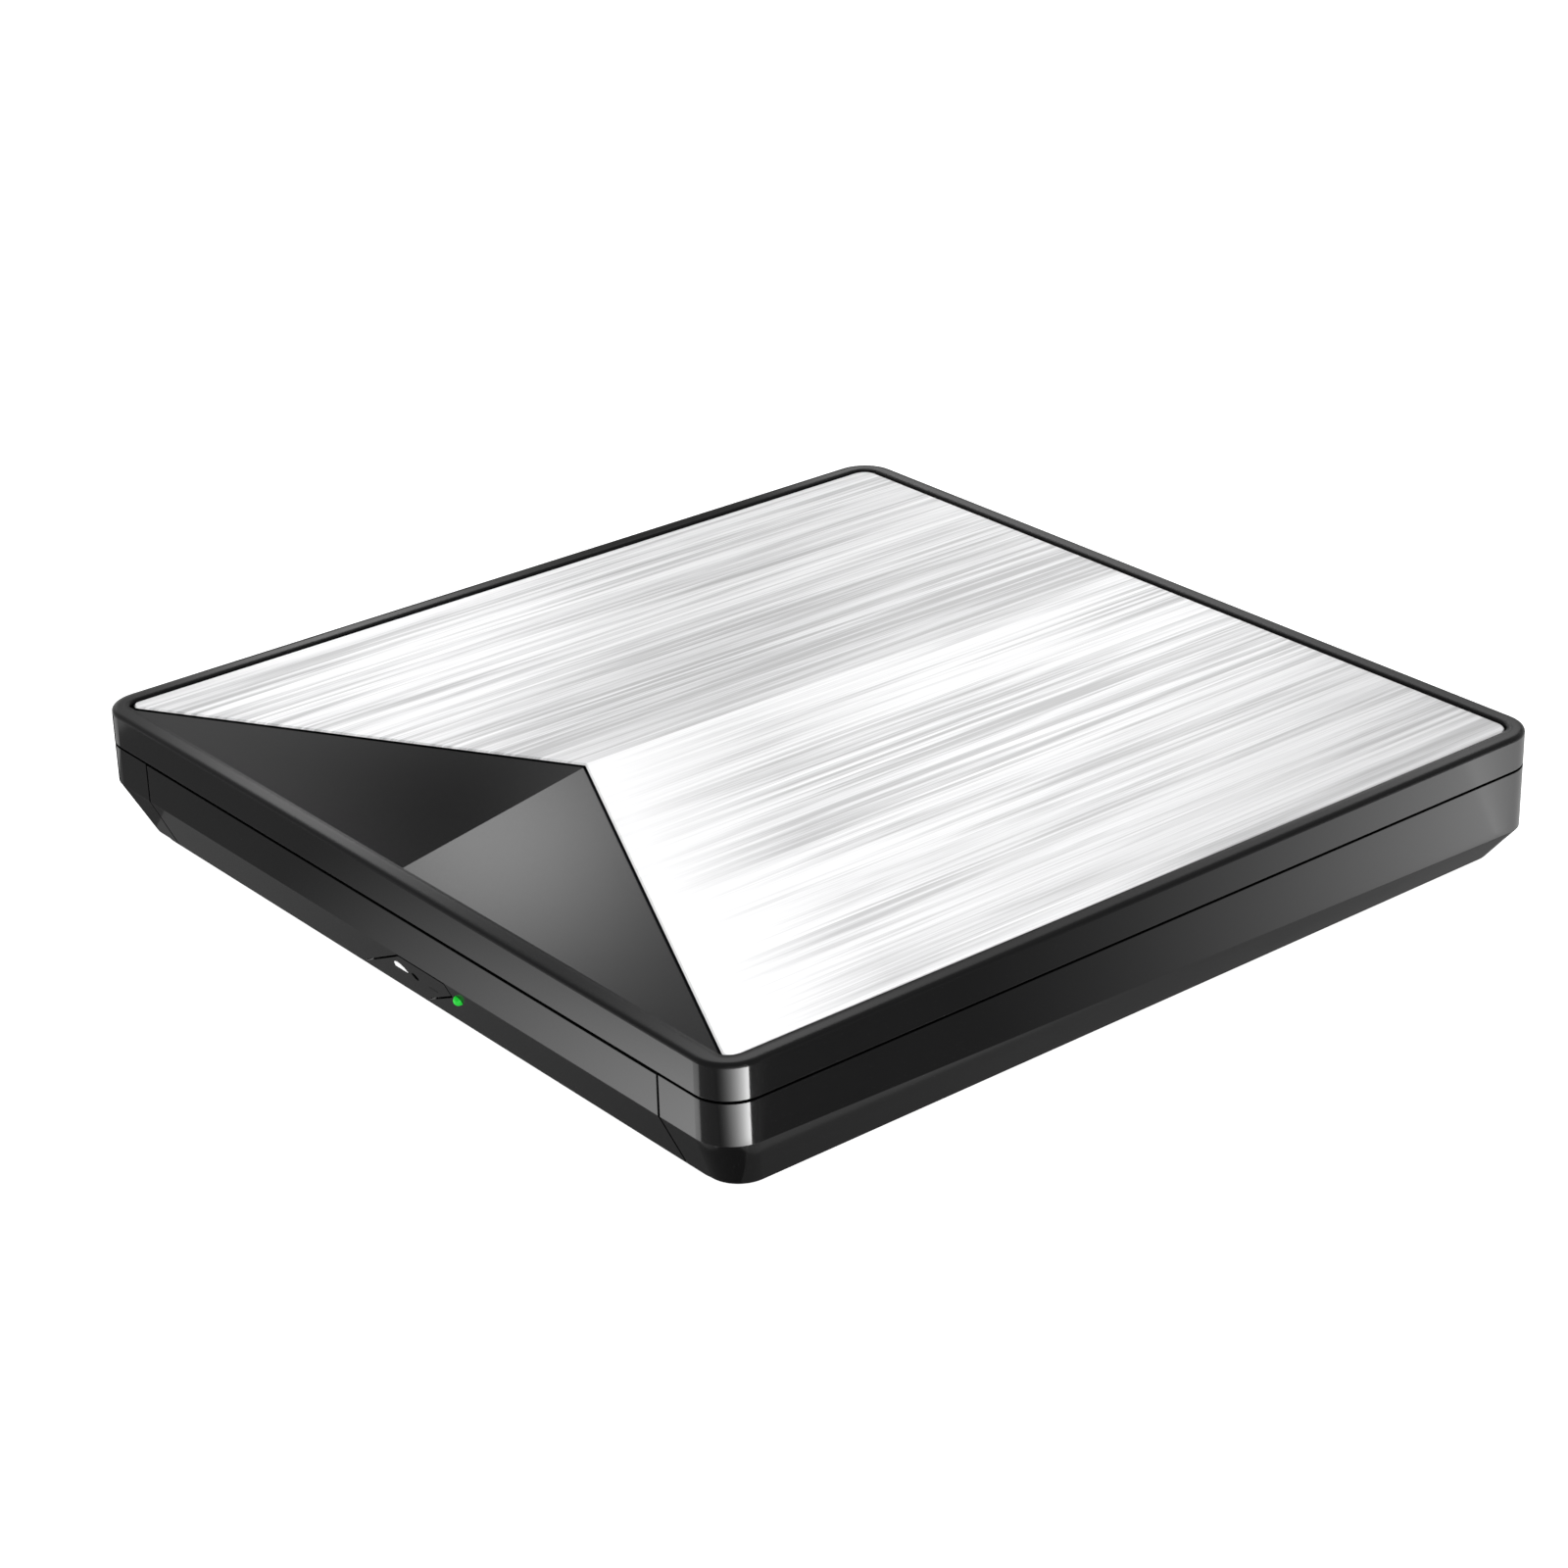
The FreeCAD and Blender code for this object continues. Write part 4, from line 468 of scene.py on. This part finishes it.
def dress_nodes():
    """Give every CAD node the finish of its material slot, or its own where it has one."""
    finishes = make_finishes()
    own_finishes = {"lead_screw": threaded_steel(), "usb_socket_tongue": contact_tongue()}
    for row in frame["record"]["subparts"]:
        finish = own_finishes.get(row["node"], finishes[row["material_slot"]])
        for place in NODES[row["node"]].material_slots:
            place.material = finish


# ---------------------------------------------------------------- stage and lights

FLOOR_HALF = 20.0
CARD_HEIGHT = 0.3 * MM
FRONT_CARD_LENGTH = 165 * MM
LOW_CARD_REACH = 60 * MM
CORNER_CARD_SIDE = 48 * MM
LEFT_FLAG_SIZE = Vector((55, 45)) * MM
BACK_CARD_CORNER = Vector((-0.620, 0.215, 0))
BACK_CARD_ALONG = Vector((0.6, 0.8, 0))
BACK_CARD_SIZE = (0.75, 0.75)


def make_flat(name, corners):
    """A flat polygon, set apart from the object as part of the studio."""
    mesh = bpy.data.meshes.new(name)
    mesh.from_pydata(corners, [], [tuple(range(len(corners)))])
    flat = bpy.data.objects.new(name, mesh)
    bpy.context.scene.collection.objects.link(flat)
    return flat


def make_floor():
    """A plain white light table, dark only where the object stands on it."""
    half = FLOOR_HALF
    floor = make_flat("floor", [(-half, -half, 0), (half, -half, 0), (half, half, 0), (-half, half, 0)])
    paint = Paint("floor_paint", specular=0.1, roughness=0.8, emission_strength=1.0)
    paint.set("color", paint.blend(paint.noise(8), (0.33, 0.33, 0.33), (0.36, 0.36, 0.36)))
    past_foot = paint.past_edges(TAPER_RUN + 0.6 * MM, CORNER_RADIUS)
    paint.set("emission", paint.blend(paint.math("GREATER_THAN", past_foot, 0.0), (0, 0, 0), (1, 1, 1)))
    floor.data.materials.append(paint.material)


def make_card(name, place, along, up, size, glow):
    """A light card that shows only in glossy surfaces.

    It starts at place, its width runs along one direction and its height along another.
    glow(paint, across, upward) gives its strength from the two distances in metres.
    """
    width, height = size
    side = Vector(along).normalized() * width
    rise = Vector(up).normalized() * height
    corner = Vector(place)
    card = make_flat(name, [corner, corner + side, corner + side + rise, corner + rise])
    spots = card.data.uv_layers.new(name="distances").uv
    for spot, distances in zip(spots, [(0, 0), (width, 0), (width, height), (0, height)]):
        spot.vector = distances
    card.visible_camera = False
    card.visible_diffuse = False
    card.visible_shadow = False
    paint = Paint(name + "_paint")
    spot = paint.node("ShaderNodeTexCoord").outputs["UV"]
    parts = paint.parts(spot)
    lamp = paint.node("ShaderNodeEmission", {"Strength": glow(paint, parts[0], parts[1])})
    paint.tree.links.new(lamp.outputs[0], paint.tree.nodes["Material Output"].inputs["Surface"])
    card.data.materials.append(paint.material)


def soft_strip(paint, value, middle, reach):
    """1 at the middle, fading smoothly to 0 at that reach on both sides."""
    away = paint.math("ABSOLUTE", paint.math("SUBTRACT", value, middle))
    return paint.node("ShaderNodeMapRange", {
        "Value": away, "From Min": 0.0, "From Max": reach, "To Min": 1.0, "To Max": 0.0},
        interpolation_type="SMOOTHSTEP").outputs[0]


def slanted_strip(paint, across, upward, start, end, reach):
    """1 along the line from start to end and fading to 0 at that reach above and below it."""
    slope = (end[1] - start[1]) / (end[0] - start[0])
    line = paint.sum(paint.product(across, slope), start[1] - slope * start[0])
    return soft_strip(paint, paint.math("SUBTRACT", upward, line), 0.0, reach)


def front_glow(paint, across, upward):
    """Grows toward the near corner, along the front wall."""
    rise = paint.math("POWER", paint.range(across, 55 * MM, FRONT_CARD_LENGTH), 1.7)
    fade = paint.range(upward, 20 * MM, 42 * MM, 1.0, 0.6)
    clear = paint.range(upward, 5 * MM, 10 * MM)
    return paint.sum(paint.product(rise, fade, clear, 9.0), 0.5)


def side_glow(paint, across, upward):
    """Grows toward the back, along the right wall."""
    rise = paint.math("POWER", paint.range(across, 35 * MM, 165 * MM), 1.7)
    fade = paint.range(upward, 20 * MM, 45 * MM, 1.0, 0.9)
    clear = paint.range(upward, 6 * MM, 10 * MM)
    return paint.sum(paint.product(rise, fade, clear, 13.5), 0.8)


def corner_glow(paint, across, upward):
    """Bright along one edge, fading around the corner of the case and close under it."""
    angle = paint.math("ARCTAN2", upward, across)
    fade = paint.math("POWER", paint.range(angle, 0.0, math.radians(95), 1.0, 0.0), 2.2)
    clear = paint.range(paint.radius(across, upward), 11 * MM, 16 * MM)
    return paint.sum(paint.product(fade, clear, 120.0), 0.9)


def rear_glow(paint, across, upward):
    """As bright as the end of the right wall's card, and fading around the rear corner."""
    angle = paint.math("ARCTAN2", upward, across)
    fade = paint.math("POWER", 0.03, paint.range(angle, 0.0, math.radians(98)))
    clear = paint.range(paint.radius(across, upward), 7 * MM, 11 * MM, 0.05, 1.0)
    return paint.product(fade, clear, 13.0)


def left_shade(paint, across, upward):
    """Nearly dark, a little less so close under the left corner."""
    return paint.range(across, 38 * MM, 48 * MM, 0.05, 0.12)


def front_shade(paint, across, upward):
    """Dim under the front, the more so toward the near corner."""
    return paint.range(across, 0.0, 2 * HALF_WIDTH, 0.26, 0.13)


def back_glow(paint, across, upward):
    """Even, with a bright spot for the notch's right facet and one for the near corner.

    Two narrow strips are mirrored by the rim on the right and at the back.
    """
    notch_spot = paint.product(
        soft_strip(paint, across, 0.085, 0.085), soft_strip(paint, upward, 0.300, 0.070), 5.5)
    corner_spot = paint.product(
        soft_strip(paint, across, 0.220, 0.105), soft_strip(paint, upward, 0.490, 0.100), 5.5)
    left_side = paint.product(
        paint.range(across, 0.0, 0.12, 0.8, 0.0), paint.range(upward, 0.34, 0.38))
    shade = paint.product(
        soft_strip(paint, across, 0.110, 0.080), soft_strip(paint, upward, 0.430, 0.060), -1.0)
    low_left = paint.product(
        paint.range(across, 0.25, 0.35, 1.0, 0.0), paint.range(upward, 0.25, 0.29, 1.0, 0.0), -0.7)
    far_right = paint.range(across, 0.36, 0.45, 0.0, -0.25)
    right_rim = paint.product(
        slanted_strip(paint, across, upward, (0.199, 0.448), (0.452, 0.335), 0.025),
        paint.range(across, 0.16, 0.45, 0.1, 1.8))
    back_rim = paint.product(
        slanted_strip(paint, across, upward, (0.245, 0.227), (0.455, 0.333), 0.020),
        paint.range(across, 0.20, 0.25), paint.range(across, 0.25, 0.45, 5.0, 2.4))
    return paint.sum(
        1.0, notch_spot, corner_spot, left_side, shade, low_left, far_right, right_rim, back_rim)


def side_shade(paint, across, upward):
    """Dim all along under the right side."""
    return 0.40


def level_direction(azimuth):
    """A level direction, by its angle from the front toward the right, in degrees."""
    angle = math.radians(azimuth)
    return Vector((math.sin(angle), -math.cos(angle), 0))


def make_cards():
    """Light cards and dark flags for the gradients on the walls, the corner and the notch.

    The low cards lie on the floor beside the case, where its upright walls mirror them, and the flags
    lie on the floor where its tapered foot mirrors them.  The back card stands far behind the case.
    """
    left = -HALF_WIDTH + CORNER_RADIUS
    front = -HALF_DEPTH
    side_start = Vector((HALF_WIDTH, front + CORNER_RADIUS, CARD_HEIGHT))
    side_length = 2 * (HALF_DEPTH - CORNER_RADIUS)
    make_card("front_card", (HALF_WIDTH - CORNER_RADIUS - FRONT_CARD_LENGTH, front, CARD_HEIGHT), (1, 0, 0),
              level_direction(-31), (FRONT_CARD_LENGTH, LOW_CARD_REACH), front_glow)
    make_card("side_card", side_start, (0, 1, 0), level_direction(129),
              (side_length, LOW_CARD_REACH), side_glow)
    make_card("rear_card", side_start + Vector((0, side_length, 0)), level_direction(129),
              level_direction(219), (LOW_CARD_REACH, LOW_CARD_REACH), rear_glow)
    make_card("corner_card", side_start, level_direction(99), level_direction(9),
              (CORNER_CARD_SIDE, CORNER_CARD_SIDE), corner_glow)
    make_card("back_card", BACK_CARD_CORNER, BACK_CARD_ALONG, (0, 0, 1), BACK_CARD_SIZE, back_glow)
    make_card("front_flag", (left, front, CARD_HEIGHT), (1, 0, 0), (0, 1, 0),
              (2 * HALF_WIDTH - CORNER_RADIUS, TAPER_RUN + 2 * MM), front_shade)
    make_card("left_flag", (left - LEFT_FLAG_SIZE.x, front, CARD_HEIGHT), (1, 0, 0), (0, 1, 0),
              LEFT_FLAG_SIZE, left_shade)
    make_card("side_flag", (HALF_WIDTH - TAPER_RUN, side_start.y, CARD_HEIGHT * 1.5), (1, 0, 0), (0, 1, 0),
              (TAPER_RUN, side_length + 9 * MM), side_shade)


def make_lights():
    """An even white surround, a high soft sun and the cards.

    The sun lights matt surfaces only: mirrored in the panel, it would burn it out from high above.
    """
    world = bpy.data.worlds.new("studio")
    world.use_nodes = True
    sky = world.node_tree.nodes["Background"]
    sky.inputs["Color"].default_value = (1.0, 1.0, 1.0, 1.0)
    sky.inputs["Strength"].default_value = 1.0
    bpy.context.scene.world = world
    sun = bpy.data.lights.new("high_sun", "SUN")
    sun.energy = 3.0
    sun.angle = math.radians(30)
    holder = bpy.data.objects.new("high_sun", sun)
    holder.visible_glossy = False
    bpy.context.scene.collection.objects.link(holder)
    make_cards()
    view = bpy.context.scene.view_settings
    view.view_transform = "Standard"
    view.look = "None"


# ---------------------------------------------------------------- scene

make_camera()
dress_nodes()
make_floor()
make_lights()
